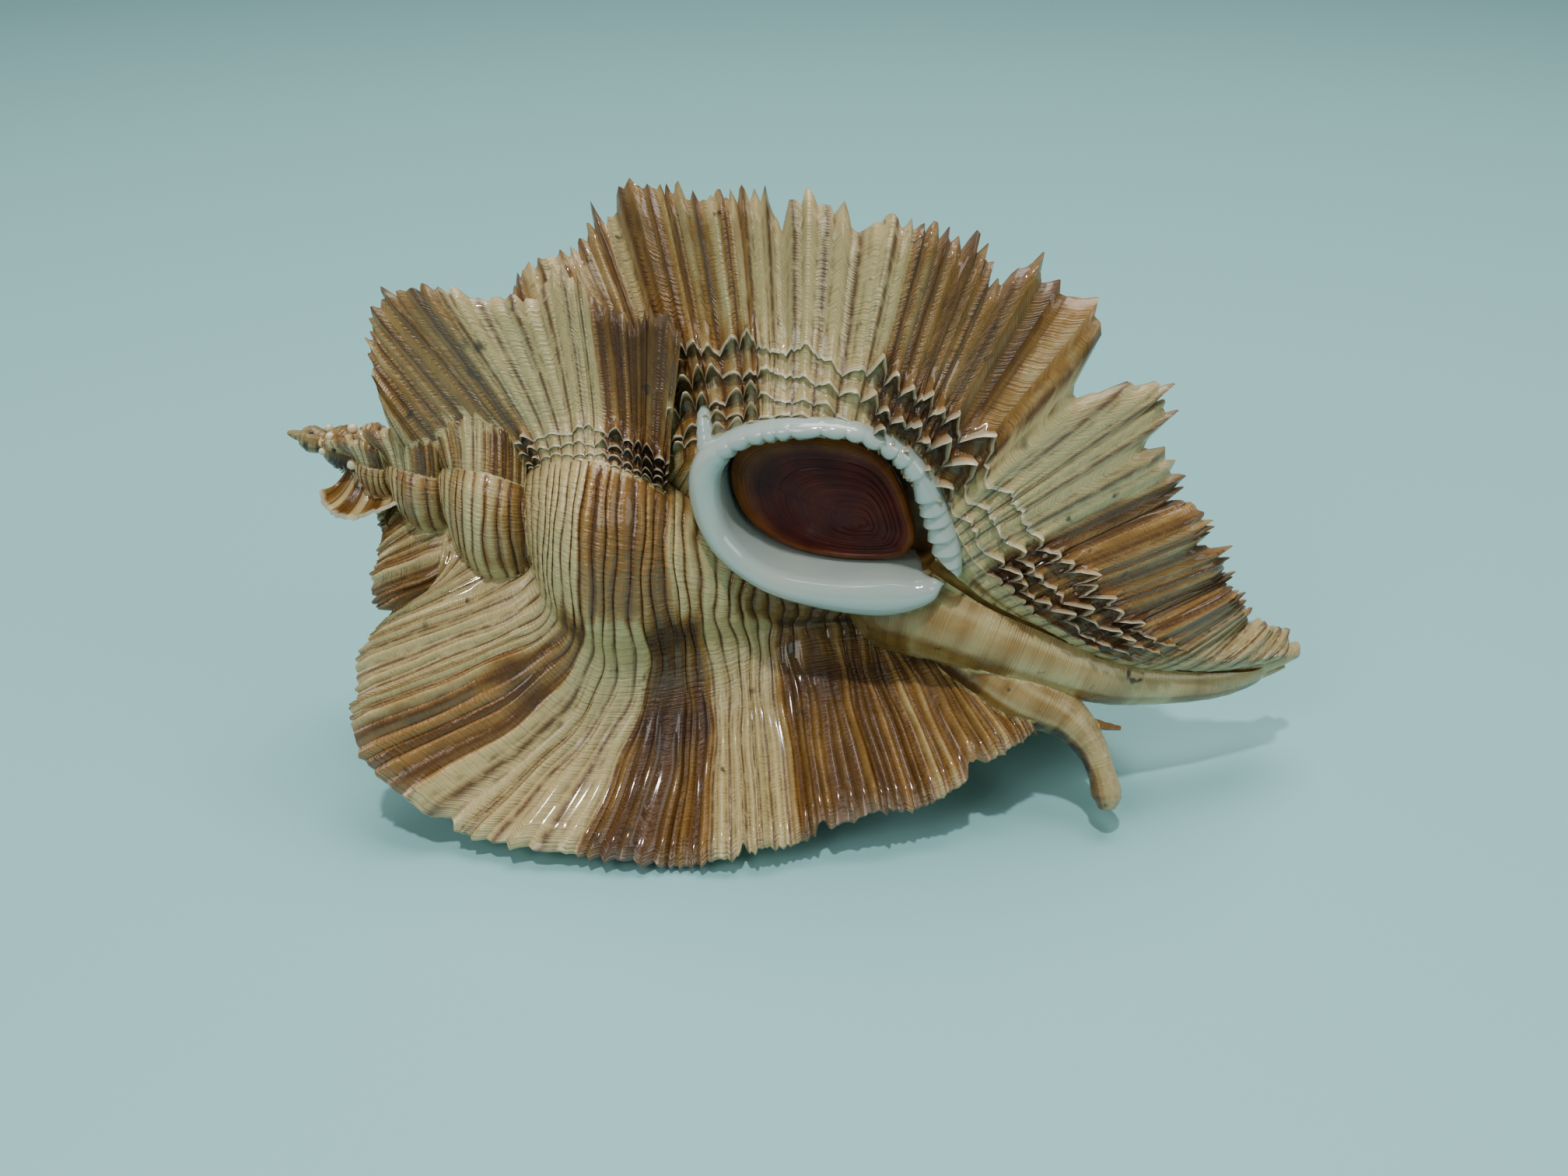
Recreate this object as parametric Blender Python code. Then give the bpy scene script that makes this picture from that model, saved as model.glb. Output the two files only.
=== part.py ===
# A winged murex shell lying on its wings, with the operculum in its aperture.
#
# The shell is laid out in its own frame, in millimetres. x runs along the coiling
# axis from the apex to the canal, y goes up and z forward, and the angle of a place
# round the axis is 0 at +y and 90 at +z. A row is a line that one spiral cord follows:
# 0 is the suture, 1 the tip of the canal, and below 0 the wing climbs the spire.
# The shell grew in stages, and each stage ends in a wing.

import math

import bmesh
import bpy
from mathutils import Matrix, Vector

# Size and growth
SHELL_LENGTH = 78.0
WHORL_GROWTH = 1.55
LIP_ANGLE = 57.0
STAGE_TURNS = (0.0, 133.0, 232.0)
WHORL_TURN = 345.0
STAGE_COUNT = 13
FLARE_TURN = 38.0
OVERLAP_TURN = 10.0
LAST_ROWS = (0.95, 0.94, 0.86, 0.34)
CANAL_START_ROW = 0.33
SPIRE_CLIMB = 140.0
SPIRE_SLOPE = 0.2

# How much of its reach each wing still has; the ones on the spire are worn and broken
WING_WEAR = (1.0, 1.0, 1.0, 1.0, 0.72, 0.72, 0.25, 0.35)
CORNER_SHARE = 0.9
CORNER_REACH = 2.5
FRONT_CORNER_LIFT = 2.2
CORE_SETBACK = 0.8

# Relief
CORD_HEIGHT = 0.22
RIB_HEIGHT = 0.34
EDGE_THICKNESS = 0.9
TOOTH_LENGTH = 1.5
SCALE_LIFT = 0.75
SCALE_ROWS = ((0.10, 0.0), (0.20, 1.0), (0.22, 0.1), (0.36, 1.0), (0.39, 0.1))
BACK_SHARES = (0.0, 0.3, 0.62)
FRONT_SHARE = 0.72
FOOT_SHARE = 0.22
RIB_COUNTS = (22, 22, 22, 20, 14, 14, 12)
EMBED = 0.35

# Aperture and operculum
APERTURE_NORMAL = Vector((-0.016, -0.506, 0.862))
LIP_DEPTH = 1.5
POCKET_DEPTH = 3.4
PLATE_RECESS = 1.9
PLATE_THICKNESS = 1.0
PLATE_GAP = 0.42
POCKET_TOP = 8.0
OPENING_SHARE = 0.8
LIP_FOLDS = 28
FOLD_DEPTH = 0.35

# Resting pose
CAMERA_SIDE_TILT = 14.85
RESTING_TILT = 30.0

MILLIMETRE = 0.001

# Newest whorl, seen along its cords: row, distance along the axis, radius
WHORL_PROFILE = (
    (0.00, 28.0, 7.2), (0.07, 30.5, 10.8), (0.14, 33.5, 13.2), (0.21, 37.0, 14.5),
    (0.27, 40.5, 13.7), (0.33, 43.4, 12.0), (0.44, 48.0, 8.3), (0.53, 52.0, 5.0),
    (0.64, 58.0, 2.9), (0.77, 65.0, 2.0), (0.89, 72.0, 1.5), (1.00, SHELL_LENGTH - 0.6, 1.2),
)

# Bend of the canal away from the axis: distance along the axis, y, z
CANAL_BEND = (
    (0.0, 0.0, 0.0), (44.0, 0.0, 0.0), (48.0, -0.2, 1.2), (52.0, -0.8, 2.4), (57.0, -1.4, 2.6),
    (61.4, -1.8, 2.0), (65.0, -1.6, 0.7), (70.6, -0.3, -1.2), (75.0, 1.6, -2.9), (78.0, 3.7, -4.2),
)

# Free edge of each wing of the last whorl, and of the first wing before it: row, x, y, z
LIP_WING = (
    (-0.10, 14.4, 11.0, 3.5), (-0.05, 14.7, 15.0, 5.0), (0.00, 18.0, 17.3, 6.0), (0.05, 21.0, 22.0, 9.0),
    (0.11, 25.9, 21.9, 11.0), (0.165, 30.1, 22.5, 13.0), (0.215, 34.3, 22.7, 14.0), (0.28, 40.6, 22.7, 15.0),
    (0.34, 46.4, 22.1, 14.0), (0.40, 53.2, 21.1, 12.0), (0.45, 59.5, 17.2, 10.0), (0.50, 62.1, 13.0, 8.0),
    (0.56, 65.5, 10.6, 6.0), (0.62, 68.3, 7.9, 4.0), (0.72, 70.2, 6.1, 2.0), (0.86, 74.0, 4.6, -1.5),
    (1.00, 78.0, 4.9, -4.0),
)
DORSAL_WING = (
    (-0.10, 13.0, -2.5, -11.5), (0.00, 15.5, -3.0, -17.0), (0.07, 19.0, -3.2, -22.0), (0.16, 26.0, -3.0, -25.5),
    (0.27, 35.0, -2.2, -27.3), (0.36, 43.0, -1.2, -26.0), (0.44, 50.0, -0.6, -22.0), (0.51, 55.5, -1.2, -17.0),
    (0.60, 60.0, -2.2, -12.0), (0.72, 63.5, -3.5, -7.5), (0.86, 65.0, -5.0, -3.5), (1.00, 66.2, -6.5, -0.5),
)
LEFT_WING = (
    (-0.10, 15.3, -9.0, 3.0), (0.00, 10.8, -12.9, 4.3), (0.08, 10.9, -16.6, 5.0), (0.15, 12.4, -20.8, 5.0),
    (0.19, 16.4, -23.2, 5.0), (0.23, 21.3, -24.3, 5.0), (0.29, 28.8, -23.8, 5.5), (0.38, 37.0, -22.1, 6.0),
    (0.49, 42.5, -19.5, 6.0), (0.59, 47.5, -16.2, 5.5), (0.69, 53.0, -13.2, 5.0), (0.80, 57.6, -8.0, 4.0),
    (1.00, 59.5, -5.5, 2.5),
)
UPPER_WING = (
    (-0.10, 7.8, 3.6, 6.4), (-0.06, 6.8, 6.0, 7.4), (-0.01, 6.3, 9.6, 8.0), (0.05, 9.7, 11.8, 9.0),
    (0.11, 14.9, 12.2, 9.5), (0.17, 18.5, 14.9, 10.0), (0.24, 22.2, 13.2, 10.0), (0.30, 25.5, 13.6, 10.3),
    (0.38, 29.0, 12.5, 10.5),
)

# Roll of the white lip round the aperture: x, y, z of its middle, half width
LIP_ROLL = (
    (31.8, 4.6, 8.4, 1.5), (32.8, 7.1, 9.8, 1.3), (35.8, 8.7, 11.3, 1.0), (40.6, 9.7, 11.8, 1.0),
    (44.6, 8.4, 11.0, 1.0), (47.3, 5.5, 9.2, 1.1), (49.0, 2.6, 7.3, 1.1), (48.0, 0.8, 6.2, 1.1),
    (45.0, 0.0, 6.0, 1.8), (41.0, -0.6, 6.0, 1.7), (37.0, -0.4, 6.2, 1.5), (33.6, 1.4, 6.8, 1.6),
)

# Radius of the canal at a distance along the axis, and x, y, z and radius of the old canal
CANAL_RADII = ((46.0, 4.4), (52.0, 3.2), (57.0, 2.5), (61.4, 2.1), (65.0, 1.8), (70.6, 1.5), (75.0, 1.3), (77.6, 1.2))
OLD_CANAL = (
    (52.0, -3.2, 1.0, 2.4), (57.0, -4.6, 2.0, 2.3), (60.6, -5.5, 2.5, 1.7), (62.8, -7.0, 2.8, 1.25),
    (64.2, -8.8, 3.0, 1.05), (65.2, -10.8, 3.0, 0.9),
)

# Radius of the first whorls at a distance along the axis
SPIRE_TIP = ((-0.3, 0.15), (1.4, 0.85), (2.8, 1.25), (4.6, 1.75), (7.5, 2.2))


def between(low, high, share):
    return low + (high - low) * share


def smooth_step(low, high, value):
    share = min(1.0, max(0.0, (value - low) / (high - low)))
    return share * share * (3.0 - 2.0 * share)


def on_curve(table, place):
    """Smooth value of a table of (place, a, b, ...) rows at one place."""
    place = min(max(place, table[0][0]), table[-1][0])
    index = 0
    while index < len(table) - 2 and table[index + 1][0] < place:
        index += 1
    first, last = table[index], table[index + 1]
    before = table[max(index - 1, 0)]
    after = table[min(index + 2, len(table) - 1)]
    span = last[0] - first[0]
    share = (place - first[0]) / span
    result = []
    for column in range(1, len(first)):
        slope_in = (last[column] - before[column]) / (last[0] - before[0]) * span
        slope_out = (after[column] - first[column]) / (after[0] - first[0]) * span
        square, cube = share ** 2, share ** 3
        result.append((2 * cube - 3 * square + 1) * first[column] + (cube - 2 * square + share) * slope_in
                      + (3 * square - 2 * cube) * last[column] + (cube - square) * slope_out)
    return result


def size_at(turn):
    """Size of the shell when it had this many degrees still to grow, against now."""
    return WHORL_GROWTH ** (-turn / 360.0)


def around(angle):
    return Vector((0.0, math.cos(math.radians(angle)), math.sin(math.radians(angle))))


def canal_offset(row, stage_turn):
    size = size_at(stage_turn)
    along = on_curve(WHORL_PROFILE, row)[0]
    y, z = on_curve(CANAL_BEND, along)
    return Matrix.Rotation(math.radians(-stage_turn), 3, 'X') @ Vector((0.0, y, z)) * size


def body_point(row, turn, stage_turn, raise_by=0.0):
    """Point of the whorl's surface on one cord, this many degrees before the lip."""
    anterior = smooth_step(0.34, 0.6, row)
    size = between(size_at(turn), size_at(stage_turn), anterior)
    along, radius = on_curve(WHORL_PROFILE, max(row, 0.0))
    if row < 0.0:
        along += SPIRE_CLIMB * row
        radius = SPIRE_SLOPE * along
    centre = canal_offset(row, stage_turn) if row > CANAL_START_ROW else Vector()
    return Vector((along * size, 0.0, 0.0)) + centre + around(LIP_ANGLE - turn) * (radius * size + raise_by)


def bezier(start, middle, end, share):
    return start.lerp(middle, share).lerp(middle.lerp(end, share), share)


def stage_turn_of(stage):
    return STAGE_TURNS[stage % 3] + WHORL_TURN * (stage // 3)


def wing_edge(stage, row):
    """Free edge of a stage's wing; early wings repeat the ones a whorl or more later."""
    tables = (LIP_WING, DORSAL_WING, LEFT_WING, UPPER_WING)
    source = stage if stage < 4 else (stage - 4) % 3 + 1
    back_turn = stage_turn_of(stage) - stage_turn_of(source)
    point = Vector(on_curve(tables[source], row))
    return Matrix.Rotation(math.radians(-back_turn), 3, 'X') @ point * size_at(back_turn)


def tooth_length(stage, rib):
    return TOOTH_LENGTH * (0.55 + 0.45 * math.sin(rib * 2.4 + stage * 1.7))


def stage_rows(stage):
    """Rows of one stage: each rib has a crest row between two furrow rows."""
    last = LAST_ROWS[min(stage, 3)]
    ribs = RIB_COUNTS[min(stage, 6)]
    count = round(ribs * 2 * (last + 0.1))
    return [(between(-0.1, last, i / count), i % 2) for i in range(count + 1)]


def stage_loop(stage, row, crest):
    """Closed loop round one stage on one row, from its start over the wing and back."""
    turn = stage_turn_of(stage)
    size = size_at(turn)
    start_turn = stage_turn_of(stage + 1) + OVERLAP_TURN
    flare_turn = turn + FLARE_TURN
    rib = crest * RIB_HEIGHT * math.sqrt(size)
    cord = crest * CORD_HEIGHT * math.sqrt(size)

    body = []
    columns = 5 if stage < 3 else 3
    for i in range(columns):
        share = i / columns
        here = between(start_turn, flare_turn, share)
        sunk = EMBED * (1.0 - smooth_step(0.0, 0.25, share))
        body.append(body_point(row, here, turn, cord * min(1.0, share * 4.0) - sunk))

    base = body_point(row, flare_turn, turn, cord)
    ahead = body_point(row, flare_turn - 1.0, turn, cord)
    tangent = (ahead - base).normalized()
    edge = base.lerp(wing_edge(stage, row), WING_WEAR[min(stage, 7)])
    reach = (edge - base).dot(tangent)
    corner = base + tangent * max(reach * CORNER_SHARE, CORNER_REACH * size)
    outward = (edge - corner).normalized()
    edge += outward * crest * tooth_length(stage, row * RIB_COUNTS[0]) * size
    normal = (tangent - outward * tangent.dot(outward)).normalized()
    half = EDGE_THICKNESS * 0.5 * math.sqrt(size)

    back = []
    for share in BACK_SHARES:
        point = bezier(base, corner, edge, share)
        back.append(point - normal * rib * smooth_step(0.0, 0.5, share))
    back.append(edge - normal * (half + rib * 0.6))

    root = body_point(row, turn, turn, -EMBED)
    front_corner = corner + normal * FRONT_CORNER_LIFT * size
    steps = SCALE_ROWS if stage in (0, 3) else ((FOOT_SHARE, 0.0),)
    room = smooth_step(-0.04, 0.05, row) * (1.0 - smooth_step(0.5, 0.66, row))
    front = [edge + normal * (half + rib * 0.3)]
    front.append(bezier(root, front_corner, edge, FRONT_SHARE) + normal * (half + rib))
    for share, lift in reversed(steps):
        scale = SCALE_LIFT * size * lift * (0.3 + 0.7 * crest) * room
        front.append(bezier(root, front_corner, edge, share) + normal * (half * share + scale) + outward * scale)
    front.append(root)

    middle_turn = (start_turn + turn) * 0.5
    heart = body_point(row, middle_turn, turn)
    centre = Vector((heart.x, 0.0, 0.0)) + (canal_offset(row, turn) if row > CANAL_START_ROW else Vector())
    centre -= around(LIP_ANGLE - middle_turn) * CORE_SETBACK * size
    return body, back, front, centre


def new_object(name, mesh_data, material=None):
    """Object of flat triangles, facing outward, which takes a Boolean cleanly."""
    bmesh.ops.triangulate(mesh_data, faces=mesh_data.faces)
    bmesh.ops.recalc_face_normals(mesh_data, faces=mesh_data.faces)
    mesh = bpy.data.meshes.new(name)
    mesh_data.to_mesh(mesh)
    mesh_data.free()
    piece = bpy.data.objects.new(name, mesh)
    bpy.context.collection.objects.link(piece)
    if material:
        mesh.materials.append(material)
    return piece


def split_to_triangles(mesh):
    build = bmesh.new()
    build.from_mesh(mesh)
    bmesh.ops.triangulate(build, faces=build.faces)
    build.to_mesh(mesh)
    build.free()


def stage_mesh(stage):
    """Solid of one growth stage: its part of the whorl, the core and the wing."""
    build = bmesh.new()
    loops = []
    for row, crest in stage_rows(stage):
        body, back, front, centre = stage_loop(stage, row, crest)
        loops.append([build.verts.new(point) for point in body + back + front + [centre]])
    body_count, back_count, front_count = len(body), len(back), len(front)
    count = len(loops[0])
    for first, second in zip(loops, loops[1:]):
        for i in range(count):
            after = (i + 1) % count
            build.faces.new((first[i], first[after], second[after], second[i]))
    for loop in (loops[0], loops[-1]):
        close_stage_end(build, loop, body_count, back_count, front_count)
    return build


def close_stage_end(build, loop, body_count, back_count, front_count):
    """Cap of one end row: a strip up the wing, and a fan across the body."""
    centre = loop[-1]
    back_foot = body_count
    for i in range(back_foot):
        build.faces.new((centre, loop[i], loop[i + 1]))
    left, right = back_foot, len(loop) - 2
    build.faces.new((centre, loop[left], loop[right]))
    edge_left = body_count + back_count - 1
    edge_right = edge_left + 1
    while left < edge_left or right > edge_right:
        left_share = (left - back_foot) / (edge_left - back_foot)
        right_share = (len(loop) - 2 - right) / (len(loop) - 2 - edge_right)
        if right > edge_right and (left == edge_left or right_share <= left_share):
            build.faces.new((loop[left], loop[right], loop[right - 1]))
            right -= 1
        else:
            build.faces.new((loop[left], loop[right], loop[left + 1]))
            left += 1


def tube_mesh(path, sides, groove=None):
    """Closed round tube along (x, y, z, radius) points, with a groove down one side."""
    build = bmesh.new()
    points = [Vector(place[:3]) for place in path]
    rings = []
    for i, point in enumerate(points):
        along = (points[min(i + 1, len(points) - 1)] - points[max(i - 1, 0)]).normalized()
        side = along.cross(Vector((0.0, 0.0, 1.0))).normalized()
        up = side.cross(along)
        ring = []
        for j in range(sides):
            angle = math.tau * j / sides
            radius = path[i][3] * (1.0 - (groove if groove and j == 0 else 0.0))
            ring.append(build.verts.new(point + (up * math.cos(angle) + side * math.sin(angle)) * radius))
        rings.append(ring)
    for first, second in zip(rings, rings[1:]):
        for j in range(sides):
            after = (j + 1) % sides
            build.faces.new((first[j], first[after], second[after], second[j]))
    build.faces.new(rings[0])
    build.faces.new(rings[-1])
    return build


def canal_path():
    path = []
    for along, radius in CANAL_RADII:
        y, z = on_curve(CANAL_BEND, along)
        path.append((along, y, z, radius))
    return path


def spire_path():
    return [(along, 0.0, 0.0, radius) for along, radius in SPIRE_TIP]


def roll_point(share):
    """Middle and half width of the lip's roll, this share of the way round."""
    count = len(LIP_ROLL)
    table = [(i,) + LIP_ROLL[i % count] for i in range(-2, count + 3)]
    x, y, z, width = on_curve(table, share * count)
    return Vector((x, y, z)), width


def roll_frame(share):
    middle, width = roll_point(share)
    along = roll_point(share + 0.01)[0] - roll_point(share - 0.01)[0]
    outward = along.cross(APERTURE_NORMAL).normalized()
    if outward.dot(middle - aperture_centre()) < 0.0:
        outward.negate()
    return middle, width, outward


def aperture_centre():
    total = Vector()
    for place in LIP_ROLL:
        total += Vector(place[:3])
    return total / len(LIP_ROLL)


def lip_mesh(segments=32, sides=7):
    """Closed ring of the lip, an oval section swept round the aperture."""
    build = bmesh.new()
    rings = []
    for i in range(segments):
        middle, width, outward = roll_frame(i / segments)
        ring = []
        for j in range(sides):
            angle = math.tau * j / sides
            across = outward * width * math.cos(angle)
            ring.append(build.verts.new(middle + across + APERTURE_NORMAL * LIP_DEPTH * math.sin(angle)))
        rings.append(ring)
    for i in range(segments):
        first, second = rings[i], rings[(i + 1) % segments]
        for j in range(sides):
            after = (j + 1) % sides
            build.faces.new((first[j], first[after], second[after], second[j]))
    return build


def opening_outline(inset, segments=56, folds=True):
    """Outline of the opening inside the lip, in the plane of the operculum's face."""
    outline = []
    for i in range(segments):
        share = i / segments
        middle, width, outward = roll_frame(share)
        on_outer_lip = smooth_step(0.06, 0.12, share) * (1.0 - smooth_step(0.44, 0.5, share))
        wave = 0.5 - 0.5 * math.cos(math.tau * share * LIP_FOLDS)
        fold = FOLD_DEPTH * wave * on_outer_lip if folds else 0.0
        outline.append(middle - outward * (width * OPENING_SHARE + inset - fold))
    return outline


def prism_mesh(outline, top, bottom):
    """Solid between two copies of an outline, slid along the aperture's normal."""
    build = bmesh.new()
    upper = [build.verts.new(point + APERTURE_NORMAL * top) for point in outline]
    lower = [build.verts.new(point + APERTURE_NORMAL * bottom) for point in outline]
    count = len(outline)
    for i in range(count):
        after = (i + 1) % count
        build.faces.new((upper[i], upper[after], lower[after], lower[i]))
    build.faces.new(upper)
    build.faces.new(lower)
    return build


def flattened(outline):
    """The outline moved along the normal onto one plane through its middle."""
    centre = aperture_centre()
    return [point - APERTURE_NORMAL * (point - centre).dot(APERTURE_NORMAL) for point in outline]


def make_material(name, colour, roughness):
    material = bpy.data.materials.new(name)
    material.use_nodes = True
    shader = material.node_tree.nodes["Principled BSDF"]
    shader.inputs["Base Color"].default_value = (*colour, 1.0)
    shader.inputs["Roughness"].default_value = roughness
    shader.inputs["Metallic"].default_value = 0.0
    return material


def resting_matrix():
    """Turn from the shell's frame to the world, where it lies on its wings."""
    frame_turn = Matrix.Rotation(math.radians(-CAMERA_SIDE_TILT), 4, 'Z')
    seen_to_world = Matrix.Rotation(math.radians(90.0 - RESTING_TILT), 4, 'X')
    return seen_to_world @ frame_turn


def join_to(target, other, operation):
    """Boolean of two solids, where the folds of one wing touch those of the next."""
    step = target.modifiers.new(other.name, 'BOOLEAN')
    step.operation = operation
    step.solver = 'MANIFOLD'
    step.object = other
    with bpy.context.temp_override(object=target, active_object=target):
        bpy.ops.object.modifier_apply(modifier=step.name)
    bpy.data.objects.remove(other)
    split_to_triangles(target.data)


def make_shell(material):
    shell = new_object("shell", stage_mesh(0), material)
    for stage in range(1, STAGE_COUNT):
        join_to(shell, new_object(f"stage_{stage}", stage_mesh(stage)), 'UNION')
    join_to(shell, new_object("canal_tube", tube_mesh(canal_path(), 10, 0.4)), 'UNION')
    join_to(shell, new_object("old_canal", tube_mesh(OLD_CANAL, 8)), 'UNION')
    join_to(shell, new_object("spire_tip", tube_mesh(spire_path(), 10)), 'UNION')
    join_to(shell, new_object("lip_roll", lip_mesh()), 'UNION')
    pocket = prism_mesh(flattened(opening_outline(0.0)), POCKET_TOP, -POCKET_DEPTH)
    join_to(shell, new_object("pocket", pocket), 'DIFFERENCE')
    return shell


def make_operculum(material):
    outline = flattened(opening_outline(PLATE_GAP, 36, False))
    plate = prism_mesh(outline, -PLATE_RECESS, -PLATE_RECESS - PLATE_THICKNESS)
    return new_object("operculum", plate, material)


def rest_on_ground(pieces):
    """Turn the finished pieces into the resting pose, with the box centred on the origin."""
    for piece in pieces:
        piece.data.transform(resting_matrix())
    corners = [vertex.co for piece in pieces for vertex in piece.data.vertices]
    low = [min(corner[axis] for corner in corners) for axis in range(3)]
    high = [max(corner[axis] for corner in corners) for axis in range(3)]
    shift = Vector((-(low[0] + high[0]) / 2, -(low[1] + high[1]) / 2, -low[2]))
    for piece in pieces:
        piece.data.transform(Matrix.Scale(MILLIMETRE, 4) @ Matrix.Translation(shift))


def main():
    for old in list(bpy.data.objects):
        bpy.data.objects.remove(old, do_unlink=True)
    shell = make_shell(make_material("shell_lime", (0.52, 0.33, 0.14), 0.38))
    operculum = make_operculum(make_material("horn", (0.045, 0.008, 0.006), 0.35))
    rest_on_ground([shell, operculum])


main()
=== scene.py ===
# A winged murex shell with its operculum, lying on two of its wings.
import math

import bpy
import numpy as np
from mathutils import Matrix, Vector


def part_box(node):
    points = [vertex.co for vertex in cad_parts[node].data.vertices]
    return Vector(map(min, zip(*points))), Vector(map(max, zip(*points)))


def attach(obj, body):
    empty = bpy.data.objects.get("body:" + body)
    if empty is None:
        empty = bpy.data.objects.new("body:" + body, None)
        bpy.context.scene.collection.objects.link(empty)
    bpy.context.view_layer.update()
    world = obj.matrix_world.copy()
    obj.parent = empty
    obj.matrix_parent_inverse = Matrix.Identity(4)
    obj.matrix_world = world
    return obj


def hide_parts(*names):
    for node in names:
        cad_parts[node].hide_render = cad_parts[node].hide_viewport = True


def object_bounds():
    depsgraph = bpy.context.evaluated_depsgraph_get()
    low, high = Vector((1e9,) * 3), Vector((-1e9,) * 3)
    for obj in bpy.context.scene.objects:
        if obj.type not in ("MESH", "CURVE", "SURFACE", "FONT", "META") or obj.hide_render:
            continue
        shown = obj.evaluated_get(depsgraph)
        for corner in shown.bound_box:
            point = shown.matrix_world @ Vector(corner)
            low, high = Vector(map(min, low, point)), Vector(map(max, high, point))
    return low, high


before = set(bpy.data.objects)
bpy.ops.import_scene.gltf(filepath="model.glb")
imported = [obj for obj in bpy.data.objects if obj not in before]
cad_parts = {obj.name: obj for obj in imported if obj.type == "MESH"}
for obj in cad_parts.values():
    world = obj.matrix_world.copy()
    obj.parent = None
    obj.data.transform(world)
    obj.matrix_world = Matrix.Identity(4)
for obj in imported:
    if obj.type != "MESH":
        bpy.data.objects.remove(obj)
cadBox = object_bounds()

# The shell is laid out in its own frame, in millimetres: x along the coiling axis from
# the apex, y up, z forward. A row follows one spiral cord: 0 at the suture, 1 at the tip
# of the canal, below 0 where a wing climbs the spire. Each growth stage ends in a wing.
growth = {
    "perWhorl": 1.55,
    "lipAngle": 57.0,
    "stageTurns": (0.0, 133.0, 232.0),
    "whorlTurn": 345.0,
    "stageCount": 13,
    "flareTurn": 38.0,
    "overlapTurn": 10.0,
    "lastRows": (0.95, 0.94, 0.86, 0.34),
    "wingWear": (1.0, 1.0, 1.0, 1.0, 0.72, 0.72, 0.25, 0.35),
    "embed": 0.35,
    "canalRow": 0.33,
    "spireRise": 140.0,
    "spireSlope": 0.2,
}

# row, distance along the axis, radius
whorlProfile = (
    (0.00, 28.0, 7.2), (0.07, 30.5, 10.8), (0.14, 33.5, 13.2), (0.21, 37.0, 14.5),
    (0.27, 40.5, 13.7), (0.33, 43.4, 12.0), (0.44, 48.0, 8.3), (0.53, 52.0, 5.0),
    (0.64, 58.0, 2.9), (0.77, 65.0, 2.0), (0.89, 72.0, 1.5), (1.00, 77.4, 1.2),
)

# distance along the axis, y, z
canalBend = (
    (0.0, 0.0, 0.0), (44.0, 0.0, 0.0), (48.0, -0.2, 1.2), (52.0, -0.8, 2.4), (57.0, -1.4, 2.6),
    (61.4, -1.8, 2.0), (65.0, -1.6, 0.7), (70.6, -0.3, -1.2), (75.0, 1.6, -2.9), (78.0, 3.7, -4.2),
)

# row, x, y, z of each wing's free edge
lipWing = (
    (-0.10, 14.4, 11.0, 3.5), (-0.05, 14.7, 15.0, 5.0), (0.00, 18.0, 17.3, 6.0), (0.05, 21.0, 22.0, 9.0),
    (0.11, 25.9, 21.9, 11.0), (0.165, 30.1, 22.5, 13.0), (0.215, 34.3, 22.7, 14.0), (0.28, 40.6, 22.7, 15.0),
    (0.34, 46.4, 22.1, 14.0), (0.40, 53.2, 21.1, 12.0), (0.45, 59.5, 17.2, 10.0), (0.50, 62.1, 13.0, 8.0),
    (0.56, 65.5, 10.6, 6.0), (0.62, 68.3, 7.9, 4.0), (0.72, 70.2, 6.1, 2.0), (0.86, 74.0, 4.6, -1.5),
    (1.00, 78.0, 4.9, -4.0),
)
dorsalWing = (
    (-0.10, 13.0, -2.5, -11.5), (0.00, 15.5, -3.0, -17.0), (0.07, 19.0, -3.2, -22.0),
    (0.16, 26.0, -3.0, -25.5), (0.27, 35.0, -2.2, -27.3), (0.36, 43.0, -1.2, -26.0),
    (0.44, 50.0, -0.6, -22.0), (0.51, 55.5, -1.2, -17.0), (0.60, 60.0, -1.8, -12.0),
    (0.72, 63.5, -2.4, -7.5), (0.86, 65.0, -1.6, -4.6), (1.00, 66.2, -1.4, -3.4),
)
leftWing = (
    (-0.10, 15.3, -9.0, 3.0), (0.00, 10.8, -12.9, 4.3), (0.08, 10.9, -16.6, 5.0), (0.15, 12.4, -20.8, 5.0),
    (0.19, 16.4, -23.2, 5.0), (0.23, 21.3, -24.3, 5.0), (0.29, 28.8, -23.8, 5.5), (0.38, 37.0, -22.1, 6.0),
    (0.49, 42.5, -19.5, 6.0), (0.59, 47.5, -16.2, 5.5), (0.69, 53.0, -13.2, 5.0), (0.80, 57.6, -8.0, 4.0),
    (1.00, 59.5, -5.5, 2.5),
)
upperWing = (
    (-0.10, 7.8, 3.6, 6.4), (-0.06, 6.8, 6.0, 7.4), (-0.01, 6.3, 9.6, 8.0), (0.05, 9.7, 11.8, 9.0),
    (0.11, 14.9, 12.2, 9.5), (0.17, 18.5, 14.9, 10.0), (0.24, 22.2, 13.2, 10.0), (0.30, 25.5, 13.6, 10.3),
    (0.38, 29.0, 12.5, 10.5),
)

# Relief of the cords and the wings, in millimetres on the newest whorl; lines round each stage
relief = {
    "cords": (92, 92, 92, 84, 60, 60, 60, 40),
    "cordSteps": (0.0, 0.25, 0.5, 0.75),
    "bodySteps": (15, 11, 25, 15, 12, 11, 9),
    "backSteps": (17, 12, 23, 13, 10, 11, 8),
    "narrowCord": 0.55,
    "wideCord": 1.45,
    "cordHeight": 0.30,
    "ribHeight": 0.36,
    "pleat": 0.30,
    "sheetHalf": 0.384,
    "edgeHalf": 0.168,
    "tooth": 1.15,
    "ragged": 0.30,
    "wave": 0.45,
    "wander": 0.0032,
}

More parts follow.
